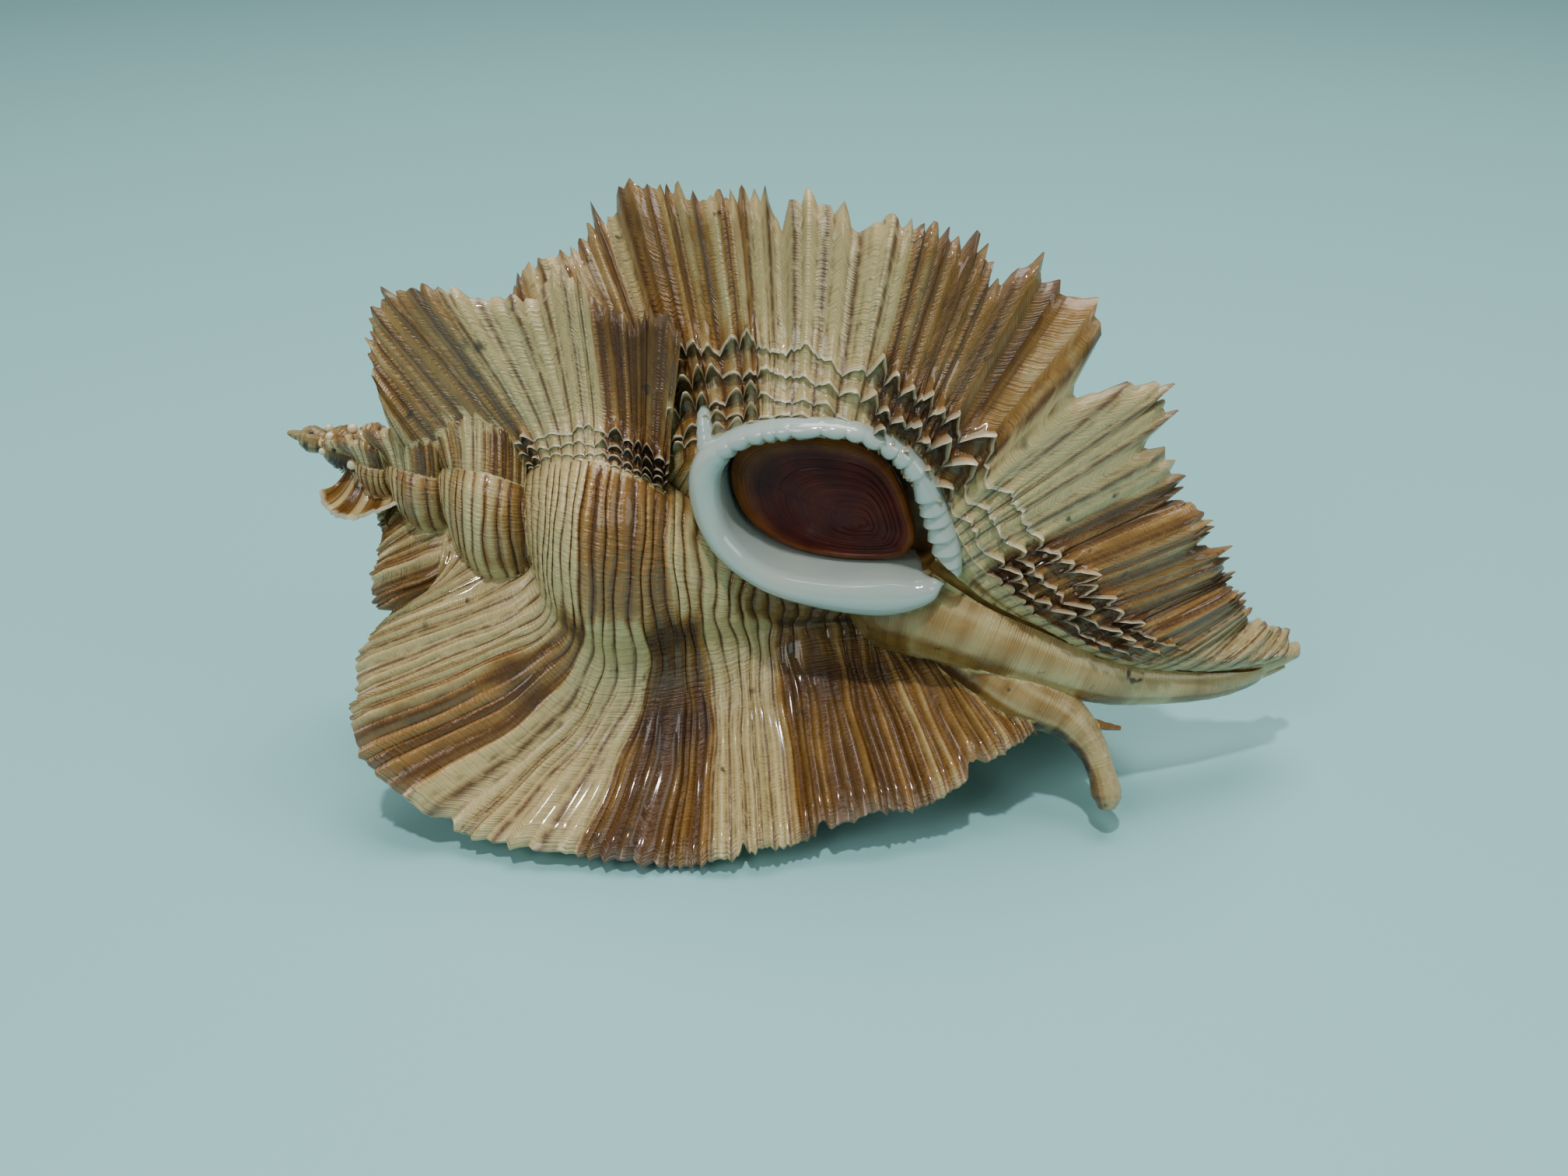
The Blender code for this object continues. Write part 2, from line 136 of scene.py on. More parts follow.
# share of the way up the wing's front, and height in millimetres, of the frilled lamellae
lamellae = {
    0: ((0.13, 0.55), (0.215, 0.9), (0.315, 1.3), (0.43, 1.7), (0.54, 1.1)),
    3: ((0.05, 0.45), (0.13, 0.7), (0.22, 1.0), (0.32, 1.3)),
}
lamella = {"flute": 0.075, "cupDepth": 0.12, "slope": 0.03, "bareShare": 0.23}

# row, depth and half width in rows of the splits in each wing's edge
splits = {
    0: ((0.032, 1.6, 0.008), (0.185, 2.4, 0.005), (0.245, 1.6, 0.005), (0.345, 1.5, 0.006),
        (0.423, 4.6, 0.011), (0.475, 1.8, 0.006), (0.53, 1.6, 0.006), (0.585, 1.4, 0.006)),
    1: ((0.12, 1.5, 0.006), (0.3, 2.0, 0.006), (0.47, 1.8, 0.006)),
    2: ((0.212, 1.0, 0.006), (0.445, 1.4, 0.005), (0.55, 1.2, 0.006), (0.735, 1.6, 0.01)),
    3: ((0.135, 1.7, 0.01), (0.27, 1.2, 0.01)),
}

# row, length and half width in rows of the long hooked teeth
spines = {
    0: ((0.024, 1.3, 0.005), (0.052, 0.8, 0.004), (0.10, 0.9, 0.004), (0.132, 0.8, 0.004),
        (0.205, 0.6, 0.004), (0.262, 0.7, 0.004), (0.292, 1.2, 0.005), (0.322, 1.5, 0.005),
        (0.362, 1.7, 0.006), (0.398, 0.9, 0.005), (0.447, 1.0, 0.005), (0.525, 0.8, 0.004),
        (0.60, 1.0, 0.005), (0.655, 0.9, 0.005)),
    3: ((0.01, 0.8, 0.006), (0.05, 0.7, 0.006), (0.20, 0.8, 0.006), (0.315, 1.8, 0.008)),
}

# row and tone of the colour bands, 0 cream to 1 dark brown
lipBands = (
    (-0.10, 0.50), (0.15, 0.48), (0.172, 0.06), (0.262, 0.06), (0.285, 0.68), (0.40, 0.60), (0.428, 0.08),
    (0.492, 0.10), (0.515, 0.72), (0.70, 0.64), (0.80, 0.32), (1.00, 0.12),
)
leftBands = (
    (-0.10, 0.05), (0.05, 0.14), (0.10, 0.22), (0.135, 0.66), (0.185, 0.58), (0.20, 0.10), (0.285, 0.08),
    (0.30, 0.84), (0.39, 0.80), (0.405, 0.10), (0.50, 0.16), (0.53, 0.72), (0.66, 0.70), (0.70, 0.58),
    (0.80, 0.60), (1.00, 0.45),
)
upperBands = (
    (-0.10, 0.10), (-0.088, 0.14), (-0.072, 0.66), (0.05, 0.70), (0.066, 0.10), (0.20, 0.08), (0.225, 0.88),
    (0.36, 0.85), (1.00, 0.50),
)
bodyBands = (
    (-0.10, 0.10), (0.04, 0.24), (0.07, 0.12), (0.165, 0.14), (0.185, 0.74), (0.335, 0.70), (0.355, 0.30),
    (0.44, 0.34), (0.48, 0.58), (0.60, 0.74), (0.76, 0.70), (0.88, 0.30), (1.00, 0.15),
)

# x, y, z of the middle of the lip's roll, half width
lipRoll = (
    (31.2, 4.4, 8.4, 1.15), (32.5, 7.1, 9.8, 0.95), (35.8, 8.8, 11.3, 0.85), (40.6, 9.8, 11.8, 0.85),
    (44.7, 8.5, 11.0, 1.0), (47.4, 5.6, 9.2, 1.2), (49.1, 2.8, 7.3, 1.2), (48.2, 0.8, 6.2, 1.0),
    (45.4, -0.5, 6.0, 1.45), (41.0, -1.35, 6.0, 1.15), (36.7, -1.2, 6.2, 0.95), (33.0, 0.8, 6.8, 1.0),
)
lip = {
    "normal": Vector((-0.016, -0.506, 0.862)),
    "depth": 1.5,
    "segments": 450,
    "sides": 18,
    "folds": 41.0,
    "innerDepth": 3.2,
    "pocketDepth": 5.0,
}
# the middle is that of the CAD operculum's box, in the shell's frame
plate = {"recess": 1.92, "thickness": 0.95, "gap": 0.42, "middle": (40.4467, -8.1031, -0.8544)}

# distance along the axis and radius of the canal; x, y, z and radius of the tubes beside it
canalRadii = (
    (43.5, 2.4), (46.0, 4.0), (49.0, 3.9), (52.0, 3.3), (57.0, 2.7), (61.4, 2.35), (65.0, 2.0),
    (70.6, 1.6), (74.0, 1.2), (75.6, 0.5),
)
canalProngs = (
    ((70.0, -0.2, -0.9, 0.5), (73.0, 1.1, -2.0, 0.95), (76.0, 2.6, -3.2, 0.80), (78.0, 3.9, -4.1, 0.62)),
    ((70.0, -0.8, -1.2, 0.4), (73.0, 0.2, -2.0, 0.60), (75.6, 1.4, -3.0, 0.36), (77.2, 2.3, -3.7, 0.16)),
)
oldCanal = (
    (49.0, -1.5, -1.5, 0.6), (52.5, -3.0, 0.6, 2.1), (57.0, -4.6, 2.0, 2.25), (60.6, -5.5, 2.5, 1.65),
    (62.8, -7.0, 2.8, 1.2), (64.1, -8.7, 3.0, 1.0), (64.9, -10.2, 3.0, 1.08), (65.2, -11.2, 3.0, 0.6),
)
oldSpike = ((61.0, -5.6, 2.4, 0.6), (63.0, -5.5, 2.7, 0.38), (64.7, -5.3, 2.9, 0.16))

# x, y, z and half width of the groove that runs down the canal
canalSlit = (
    (45.4, 3.6, 7.9, 0.50), (47.2, 2.8, 7.6, 0.62), (48.8, 2.1, 7.1, 0.56), (50.6, 1.5, 6.2, 0.34),
    (52.8, 0.8, 5.6, 0.20), (57.0, 0.1, 4.9, 0.13), (61.4, -0.4, 4.1, 0.12), (67.9, -0.1, 1.9, 0.12),
    (73.0, 1.0, -0.7, 0.12), (75.5, 1.9, -1.7, 0.1),
)

# x, y, z and radius of the white ridge where the lip meets the older wing
lipRidge = (
    (31.9, 4.4, 8.3, 0.9), (31.0, 6.0, 8.7, 0.76), (30.45, 7.4, 8.9, 0.62), (30.1, 8.4, 8.9, 0.50),
    (29.95, 8.95, 8.85, 0.22),
)

# distance along the axis and radius of the first whorls; x, y, z and radius of the knobs on them,
# and place along and width of a knob as shares of its radius
spire = {
    "outline": ((-0.3, 0.15), (0.2, 0.34), (0.7, 0.44), (0.9, 0.74), (1.5, 1.02), (2.1, 0.96),
                (2.6, 0.88), (3.1, 1.32), (3.9, 1.68), (4.7, 1.60), (5.3, 1.62), (7.5, 2.2)),
    "knobs": ((3.2, 0.5, 1.15, 0.34), (5.15, 0.45, 1.75, 0.42), (5.4, -1.1, 1.5, 0.38),
              (2.9, -0.7, 1.0, 0.3), (4.6, 1.5, 1.0, 0.4), (2.7, 1.1, 0.4, 0.32),
              (5.0, -1.5, -0.9, 0.4), (3.0, -0.6, -1.0, 0.3), (4.9, 1.0, -1.5, 0.4)),
    "knobShape": ((-1.0, 0.1), (-0.7, 0.72), (0.0, 1.0), (0.7, 0.72), (1.0, 0.1)),
}

# tone at the start and the end, unevenness, strength of the stain below, and dirt spots as
# (share along, angle, size); the groove is stretched to cut deeper than it is wide
tubes = {
    "canal": {"sides": 40, "tone": 0.40, "endTone": 0.18, "rough": 0.016, "stained": 0.30,
              "spots": ((0.86, 1.05, 0.025),)},
    "canalProng": {"sides": 20, "tone": 0.10, "endTone": 0.02, "rough": 0.03, "stained": 0.2},
    "oldCanal": {"sides": 32, "tone": 0.46, "endTone": 0.18, "rough": 0.03, "stained": 0.5,
                 "spots": ((0.36, 1.05, 0.03), (0.45, 1.1, 0.05), (0.55, 1.15, 0.05),
                           (0.64, 1.15, 0.04), (0.93, 0.3, 0.02))},
    "oldSpike": {"sides": 12, "tone": 0.5, "endTone": 0.5, "rough": 0.08},
    "spireTip": {"sides": 32, "tone": 0.12, "endTone": 0.62, "rough": 0.03, "stained": 0.7,
                 "spots": ((0.27, 0.1, 0.016), (0.39, 5.8, 0.03), (0.35, 0.7, 0.026),
                           (0.60, 1.1, 0.03), (0.72, 0.2, 0.022))},
    "lipRidge": {"sides": 20, "tone": 0.0, "endTone": 0.0, "rough": 0.06},
    "slit": {"sides": 10, "tone": 0.6, "endTone": 0.6, "stretch": 3.2},
}

# share along, x, y, z of the free rim and of the root of a small broken wing on the spire
cupRim = (
    (0.0, 3.5, -3.5, 0.8), (0.2, 4.3, -4.6, 1.7), (0.5, 6.1, -5.0, 2.3), (0.75, 7.8, -4.2, 2.2),
    (1.0, 9.4, -2.9, 1.9),
)
cupRoot = ((0.0, 4.7, -1.1, -0.4), (0.5, 6.4, -1.4, 0.1), (1.0, 8.8, -1.7, 0.6))
cup = {"steps": 28, "depth": 10, "half": 0.14, "bulge": (0.0, -0.9, -1.5)}

view = {
    "pitch": 30.0,
    "roll": 14.85,
    "focalPixels": 1931.0,
    "imageSize": (2016.0, 1512.0),
    "apexPixel": (375.0, 557.4),
    "distance": 112.0,
    "sensor": 36.0,
}
millimetre = 0.001


def activate(piece):
    bpy.ops.object.select_all(action="DESELECT")
    piece.select_set(True)
    bpy.context.view_layer.objects.active = piece


def smoothStep(low, high, value):
    share = np.clip((np.asarray(value, dtype=float) - low) / (high - low), 0.0, 1.0)
    return share * share * (3.0 - 2.0 * share)


def onCurve(table, places):
    # smooth values of a table of (place, a, b, ...) at many places
    rows = np.array(table, dtype=float)
    places = np.clip(np.atleast_1d(np.asarray(places, dtype=float)), rows[0, 0], rows[-1, 0])
    first = np.clip(np.searchsorted(rows[:, 0], places, side="left") - 1, 0, len(rows) - 2)
    last = first + 1
    before = np.maximum(first - 1, 0)
    after = np.minimum(last + 1, len(rows) - 1)
    span = rows[last, 0] - rows[first, 0]
    share = ((places - rows[first, 0]) / span)[:, None]
    low, high = rows[first, 1:], rows[last, 1:]
    slopeIn = (high - rows[before, 1:]) / (rows[last, 0] - rows[before, 0])[:, None] * span[:, None]
    slopeOut = (rows[after, 1:] - low) / (rows[after, 0] - rows[first, 0])[:, None] * span[:, None]
    square, cube = share ** 2, share ** 3
    return ((2 * cube - 3 * square + 1) * low + (cube - 2 * square + share) * slopeIn
            + (3 * square - 2 * cube) * high + (cube - square) * slopeOut)


def onLine(table, places):
    rows = np.array(table, dtype=float)
    return np.interp(places, rows[:, 0], rows[:, 1])


def sizeAt(turn):
    return growth["perWhorl"] ** (-turn / 360.0)


def around(angle):
    angle = np.radians(angle)
    return np.array((0.0, math.cos(angle), math.sin(angle)))


def turnedBy(points, angle):
    cosine, sine = math.cos(math.radians(angle)), math.sin(math.radians(angle))
    return np.column_stack((points[:, 0], points[:, 1] * cosine + points[:, 2] * sine,
                            -points[:, 1] * sine + points[:, 2] * cosine))


def unit(vectors):
    return vectors / np.maximum(np.linalg.norm(vectors, axis=1, keepdims=True), 1e-9)


def dots(first, second):
    return np.sum(first * second, axis=1, keepdims=True)


def canalOffset(rows, stageTurn):
    along = onCurve(whorlProfile, rows)[:, 0]
    bend = onCurve(canalBend, along)
    offset = turnedBy(np.column_stack((np.zeros(len(rows)), bend)), stageTurn) * sizeAt(stageTurn)
    return offset * (rows > growth["canalRow"])[:, None]


def bodyPoints(rows, turn, stageTurn, raiseBy=0.0):
    # the whorl's surface along all the rows, this many degrees before the lip
    anterior = smoothStep(0.34, 0.6, rows)
    size = sizeAt(turn) * (1.0 - anterior) + sizeAt(stageTurn) * anterior
    profile = onCurve(whorlProfile, np.maximum(rows, 0.0))
    along, radius = profile[:, 0], profile[:, 1]
    onSpire = rows < 0.0
    along = np.where(onSpire, along + growth["spireRise"] * rows, along)
    radius = np.where(onSpire, growth["spireSlope"] * along, radius)
    points = around(growth["lipAngle"] - turn) * (radius * size + raiseBy)[:, None]
    points[:, 0] = along * size
    return points + canalOffset(rows, stageTurn)


def bezier(start, middle, end, share):
    first = start + (middle - start) * share
    second = middle + (end - middle) * share
    return first + (second - first) * share


def bezierSlope(start, middle, end, share):
    return unit((middle - start) * (1.0 - share) + (end - middle) * share)


def stageTurnOf(stage):
    return growth["stageTurns"][stage % 3] + growth["whorlTurn"] * (stage // 3)


def wingEdge(stage, rows):
    # early wings repeat the ones a whorl or more later
    tables = (lipWing, dorsalWing, leftWing, upperWing)
    source = stage if stage < 4 else (stage - 4) % 3 + 1
    backTurn = stageTurnOf(stage) - stageTurnOf(source)
    return turnedBy(onCurve(tables[source], rows), backTurn) * sizeAt(backTurn)


def stageRows(stage):
    # fine cords run two to each main cord, which has an even number; main cords vary in width
    last = growth["lastRows"][min(stage, 3)]
    cords = relief["cords"][min(stage, 7)]
    knots = np.arange(-16, cords + 4, 2)
    widths = np.random.RandomState(5 + stage).uniform(relief["narrowCord"], relief["wideCord"], len(knots))
    places = np.cumsum(widths)
    origin, whole = np.interp((0, cords), knots, places)
    phases = np.array([cord + step for cord in range(-14, cords + 2) for step in relief["cordSteps"]])
    rows = (np.interp(phases, knots, places) - origin) / (whole - origin)
    inside = (rows >= -0.1) & (rows <= last)
    return rows[inside], phases[inside]


def cordShape(phases):
    # 1 on the crest of a cord, 0 in the groove between two
    return np.abs(np.cos(np.pi * phases)) ** 0.75


def perCord(phases, low, high, seed):
    # one random number for each cord, the same on all its rows
    table = np.random.RandomState(seed).uniform(low, high, 200)
    return table[(np.floor(phases + 0.5).astype(int) + 50) % 200]


def wandering(stage, rows, place):
    # the rows shifted a little, so that the cords wind; place is 0 to 1 on the body, to 2 on the wing
    swing = np.sin(place * 7.0 + rows * 35.0 + stage) + 0.5 * np.sin(place * 17.0 - rows * 80.0)
    fade = min(1.0, place * 3.0) * (1.0 - float(smoothStep(1.6, 1.95, place)))
    return np.clip(rows + relief["wander"] * fade * swing, rows[0], rows[-1])


def shifted(points, rows, newRows):
    return np.column_stack([np.interp(newRows, rows, points[:, axis]) for axis in range(3)])


def toothLine(stage, rows, phases, size):
    # how far the edge reaches out past its smooth line, row by row
    random = np.random.RandomState(40 + stage)
    strength = perCord(phases, 0.15, 1.0, 60 + stage) * perCord(phases * 0.5, 0.5, 1.25, 70 + stage)
    peak = 1.0 - 2.0 * np.abs(phases - np.floor(phases + 0.5))
    reach = relief["tooth"] * strength * peak
    reach += random.uniform(-1.0, 1.0, len(rows)) * relief["ragged"] * (0.6 if stage == 2 else 1.0)
    if stage == 2:
        reach *= 0.6
    for row, length, width in spines.get(stage, ()):
        reach += length * np.maximum(1.0 - np.abs(rows - row) / width, 0.0)
    for row, depth, width in splits.get(stage if stage < 4 else 3, ()):
        reach -= depth * np.exp(-((rows - row) / width) ** 2)
    return reach[:, None] * size


def stageTone(stage, rows, isWing):
    tables = {0: lipBands, 1: lipBands, 2: leftBands, 3: upperBands}
    if isWing:
        tone = onLine(tables[stage if stage < 4 else 3 if stage % 3 == 0 else 1], rows)
    else:
        tone = onLine(bodyBands, rows)
    if stage > 3:
        # the bands of the early whorls are worn and stained
        worn = 0.42 + 0.24 * np.sin(rows * 33.0 + stage * 2.0) + 0.12 * np.sin(rows * 71.0 + stage)
        tone = tone * 0.40 + worn * 0.60
    return tone


def stageColumns(stage):
    # all the lines round one stage: each a set of points with its colour marks
    rows, phases = stageRows(stage)
    turn = stageTurnOf(stage)
    size = sizeAt(turn)
    root = math.sqrt(size)
    startTurn = stageTurnOf(stage + 1) + growth["overlapTurn"]
    flareTurn = turn + growth["flareTurn"]
    main, fine = cordShape(phases * 0.5), cordShape(phases)
    strength = perCord(phases * 0.5, 0.45, 1.15, 80 + stage)
    fineStrength = perCord(phases, 0.5, 1.2, 90 + stage)
    if stage == 2:
        strength = strength * (1.0 - 0.25 * smoothStep(0.15, 0.45, stageTone(2, rows, True)))
    bodyRelief = main ** 0.55 * 0.85 + fine * 0.15
    wingRelief = (main * 0.5 * strength + fine * 0.6 * fineStrength)
    columns = []

    def addColumn(points, *marks):
        # the marks are part, tone, painted shade and dirt, and pale
        marks = marks + (0.0,) * (4 - len(marks))
        columns.append((points, np.column_stack([mark + np.zeros(len(rows)) for mark in marks])))

    blotch = smoothStep(0.3, 0.6, stageTone(stage, rows, True)) * (0.26 if stage == 2 else 0.0)
    bodyTone = stageTone(stage, rows, False) + 0.10 - 0.24 * main
    bodyTone += perCord(phases * 0.5, -0.08, 0.08, 31 + stage)
    wingTone = stageTone(stage, rows, True) + perCord(phases * 0.5, -0.1, 0.1, 30 + stage)
    wingTone += 0.10 - 0.22 * main * strength - 0.08 * fine

    # the body, from under the older wing to where this one flares
    bodySteps = relief["bodySteps"][min(stage, 6)]
    for i in range(bodySteps):
        share = i / bodySteps
        here = startTurn + (flareTurn - startTurn) * share
        sunk = growth["embed"] * (1.0 - smoothStep(0.0, 0.2, share))
        beads = 1.0 + 0.18 * np.sin(i * 2.1 + perCord(phases * 0.5, 0.0, 6.0, 20 + stage))
        lift = relief["cordHeight"] * root * bodyRelief * beads * min(1.0, share * 5.0)
        mix = smoothStep(0.75, 1.0, share)
        creased = blotch * smoothStep(0.82, 1.0, share)
        wound = wandering(stage, rows, share)
        mixedTone = bodyTone * (1 - mix) + wingTone * mix + creased
        addColumn(bodyPoints(wound, here, turn, lift - sunk), 0.0, mixedTone)

    base = bodyPoints(rows, flareTurn, turn)
    ahead = bodyPoints(rows, flareTurn - 1.0, turn)
    tangent = unit(ahead - base)
    edge = base + (wingEdge(stage, rows) - base) * growth["wingWear"][min(stage, 7)]
    reach = dots(edge - base, tangent)
    corner = base + tangent * np.maximum(reach * 0.9, 2.5 * size)
    outward = unit(edge - corner)
    edge = edge + outward * toothLine(stage, rows, phases, size)
    across = unit(tangent - outward * dots(tangent, outward))
    ripple = relief["wave"] * size * (np.sin(rows * 41.0 + stage) + 0.6 * np.sin(rows * 87.0 + 2.0 * stage))
    pleat = relief["pleat"] * root * (wingRelief - 0.5)
    folded = across * (ripple + pleat)[:, None]

    # the back of the wing, up to its edge
    backSteps = relief["backSteps"][min(stage, 6)]
    for i in range(backSteps):
        share = i / backSteps
        slope = bezierSlope(base, corner, edge, share)
        outside = unit(outward * dots(slope, across) - across * dots(slope, outward))
        mixed = smoothStep(0.0, 0.8, share)
        height = relief["cordHeight"] * bodyRelief * (1 - mixed) + relief["ribHeight"] * wingRelief * mixed
        bend = smoothStep(0.35, 1.0, share)
        points = shifted(bezier(base, corner, edge, share), rows, wandering(stage, rows, 1.0 + share))
        points = points + outside * ((height + relief["sheetHalf"] * bend) * root)[:, None]
        belt = math.exp(-(share / 0.07) ** 2) + 0.9 * math.exp(-((share - 0.52) / 0.07) ** 2)
        addColumn(points - folded * bend, share, wingTone + blotch * belt)
    thin = relief["edgeHalf"] * root
    addColumn(edge - across * thin - folded, 1.0, wingTone, 0.0, 0.12)
    addColumn(edge + across * thin - folded, 1.0, wingTone, 0.0, 0.12)

    # the front of the wing, from its edge over the lamellae to its foot
    foot = bodyPoints(rows, turn, turn, -growth["embed"])
    frontCorner = corner + across * 2.2 * size
    hasScales = stage in lamellae
    scaleFade = smoothStep(-0.05, 0.03, rows) * (1.0 - smoothStep(0.66, 0.8, rows))
    arches = [main ** 0.8 * perCord(phases * 0.5, 0.3, 1.3, 10 + 7 * k + stage) for k in range(6)]
    paleBand = 1.0 - 0.62 * (1.0 - smoothStep(0.15, 0.45, stageTone(stage, rows, True)))
    for share, lift, flute, paintedShadeAndDirt, pale, number in frontSteps(stage):
        arch = arches[number]
        bare = smoothStep(0.42, 0.52, rows) * (share < lamella["bareShare"])
        moved = lamella["flute"] * (arch * paleBand - 0.35) * flute * scaleFade * (1.0 - bare)
        moved = moved + 0.012 * np.sin(rows * (47.0 + 11.0 * number) + number * 2.0) * min(1.0, flute * 3.0)
        place = np.clip(share + moved, 0.0, 1.0)[:, None]
        slope = bezierSlope(foot, frontCorner, edge, place)
        outside = -unit(outward * dots(slope, across) - across * dots(slope, outward))
        bend = smoothStep(0.35, 1.0, share)
        height = relief["ribHeight"] * wingRelief * root * (0.4 if hasScales and share < 0.5 else 1.0)
        taller = 1.0 + (1.3 * np.exp(-((rows - 0.32) / 0.035) ** 2) if stage == 3 else 0.0)
        raised = taller * size * scaleFade * paleBand * (0.12 + 0.88 * arch) * lift * (1.0 - bare)
        half = relief["sheetHalf"] * root * bend
        points = bezier(foot, frontCorner, edge, place) + outside * (height + half + raised)[:, None]
        points = points - folded * bend
        marked = scaleFade * (1.0 - bare)
        # painted shade: the dip under each lamella is darkened toward dark brown
        addColumn(points, 2.0 - share, wingTone * (1.0 - 0.8 * bare), paintedShadeAndDirt * marked, pale * marked)
    addColumn(foot, 2.0, wingTone)

    # the last line lies inside the whorl, where all the stages meet
    middleTurn = (startTurn + turn) * 0.5
    heart = bodyPoints(rows, middleTurn, turn)
    heart[:, 1:] = 0.0
    heart = heart + canalOffset(rows, turn) - around(growth["lipAngle"] - middleTurn) * 0.8 * size
    addColumn(heart, 0.0, bodyTone)
    return phases, columns, bodySteps, backSteps + 1


def frontSteps(stage):
    # share of the way up the front, lift, flute, painted shade in the dip under a lamella, pale, lamella;
    # from the edge down to the foot
    if stage not in lamellae:
        return [(share, 0.0, 0.0, 0.0, 0.0, 0) for share in (0.85, 0.65, 0.45, 0.25, 0.1)]
    steps = []
    cup, slope = lamella["cupDepth"], lamella["slope"]
    for k, (low, height) in enumerate(lamellae[stage]):
        steps += [
            (low - 0.030, -cup, 0.0, 0.5, 0.0, k), (low, -cup, 0.3, 1.0, 0.0, k),
            (low + 0.004, height * 0.4, 0.85, 1.0, 0.0, k), (low + 0.008, height, 1.0, 0.0, 1.0, k),
            (low + 0.016, height * 0.92, 1.0, 0.0, 0.7, k), (low + slope, height * 0.25, 0.8, 0.0, 0.0, k),
        ]
    top = lamellae[stage][-1][0] + 0.12
    steps += [(top + (0.95 - top) * i / 7.0, 0.0, 0.0, 0.0, 0.0, 0) for i in range(8)]
    return sorted(steps, key=lambda step: -step[0])


def endFaces(loop, bodyCount, backCount, total):
    # a strip up the wing and a fan across the body, to close one end of a stage
    heart = total - 1
    faces = [(loop + heart, loop + i, loop + i + 1) for i in range(bodyCount)]
    left, right = bodyCount, total - 2
    faces.append((loop + heart, loop + left, loop + right))
    edgeLeft = bodyCount + backCount - 1
    edgeRight = edgeLeft + 1
    while left < edgeLeft or right > edgeRight:
        leftShare = (left - bodyCount) / (edgeLeft - bodyCount)
        rightShare = (total - 2 - right) / (total - 2 - edgeRight)
        if right > edgeRight and (left == edgeLeft or rightShare <= leftShare):
            faces.append((loop + left, loop + right, loop + right - 1))
            right -= 1
        else:
            faces.append((loop + left, loop + right, loop + left + 1))
            left += 1
    return faces


def makeMesh(name, grid, faces, finish, marks, phases=0.0, lengths=0.0):
    # a closed mesh on a grid of points; the phase and the length give each point's place on its cord
    mesh = bpy.data.meshes.new(name)
    mesh.from_pydata([tuple(point) for point in grid.reshape(-1, 3)], [], faces)
    marks = marks.reshape(-1, 4)
    for index, label in enumerate(("part", "tone", "paintedShadeAndDirt", "pale")):
        mesh.attributes.new(label, "FLOAT", "POINT").data.foreach_set("value", marks[:, index])
    cords = mesh.uv_layers.new(name="cords")
    corners = np.zeros(len(mesh.loops), dtype=int)
    mesh.loops.foreach_get("vertex_index", corners)
    places = [np.broadcast_to(values, grid.shape[:-1]).ravel()[corners] for values in (phases, lengths)]
    cords.data.foreach_set("uv", np.column_stack(places).ravel())
    mesh.materials.append(finish)
    piece = bpy.data.objects.new(name, mesh)
    bpy.context.collection.objects.link(piece)
    activate(piece)
    bpy.ops.object.mode_set(mode="EDIT")
    bpy.ops.mesh.select_all(action="SELECT")
    bpy.ops.mesh.quads_convert_to_tris(quad_method="SHORTEST_DIAGONAL", ngon_method="BEAUTY")
    bpy.ops.mesh.normals_make_consistent(inside=False)
    bpy.ops.object.mode_set(mode="OBJECT")
    return piece


def sweep(rings, ends="flat"):
    # faces between rings of points; the ends are flat, joined or open
    count, sides = rings.shape[:2]
    faces = []
    for i in range(count if ends == "joined" else count - 1):
        first, second = i * sides, (i + 1) % count * sides
        for j in range(sides):
            after = (j + 1) % sides
            faces.append((first + j, first + after, second + after, second + j))
    if ends == "flat":
        faces += [tuple(range(sides)), tuple(range((count - 1) * sides, count * sides))]
    return faces


def makeStage(stage, finish):
    phases, columns, bodyCount, backCount = stageColumns(stage)
    points = np.stack([column[0] for column in columns], axis=1)
    marks = np.stack([column[1] for column in columns], axis=1)
    rowCount, total = points.shape[:2]
    steps = np.linalg.norm(np.diff(points, axis=1), axis=2)
    lengths = np.concatenate((np.zeros((rowCount, 1)), np.cumsum(steps, axis=1)), axis=1) * 0.1
    lengths = np.median(lengths, axis=0) + stage * 10.0
    faces = sweep(points, "open")
    for loop in (0, (rowCount - 1) * total):
        faces += endFaces(loop, bodyCount, backCount, total)
    return makeMesh("stage", points, faces, finish, marks, phases[:, None], lengths)


def tubeRings(path, sides, stretch, rough, seed, perSpan=8):
    # rings of points round a (x, y, z, radius) path; the section may be deeper toward +z
    path = np.array(path, dtype=float)
    place = np.arange(len(path), dtype=float)
    places = np.linspace(0, len(path) - 1, (len(path) - 1) * perSpan + 1)
    fine = onCurve(np.column_stack((place, path)), places)
    points, radii = fine[:, :3], fine[:, 3]
    along = unit(np.gradient(points, axis=0))
    side = unit(np.cross(along, np.broadcast_to((0.0, 0.0, 1.0), along.shape)))
    up = np.cross(side, along)
    random = np.random.RandomState(seed)
    rings = np.zeros((len(fine), sides, 3))
    for j in range(sides):
        angle = math.tau * j / sides
        ring = up * math.cos(angle) * stretch + side * math.sin(angle)
        uneven = 1.0 + rough * random.uniform(-1.0, 1.0, len(fine))
        rings[:, j] = points + ring * (radii * uneven)[:, None]
    return rings


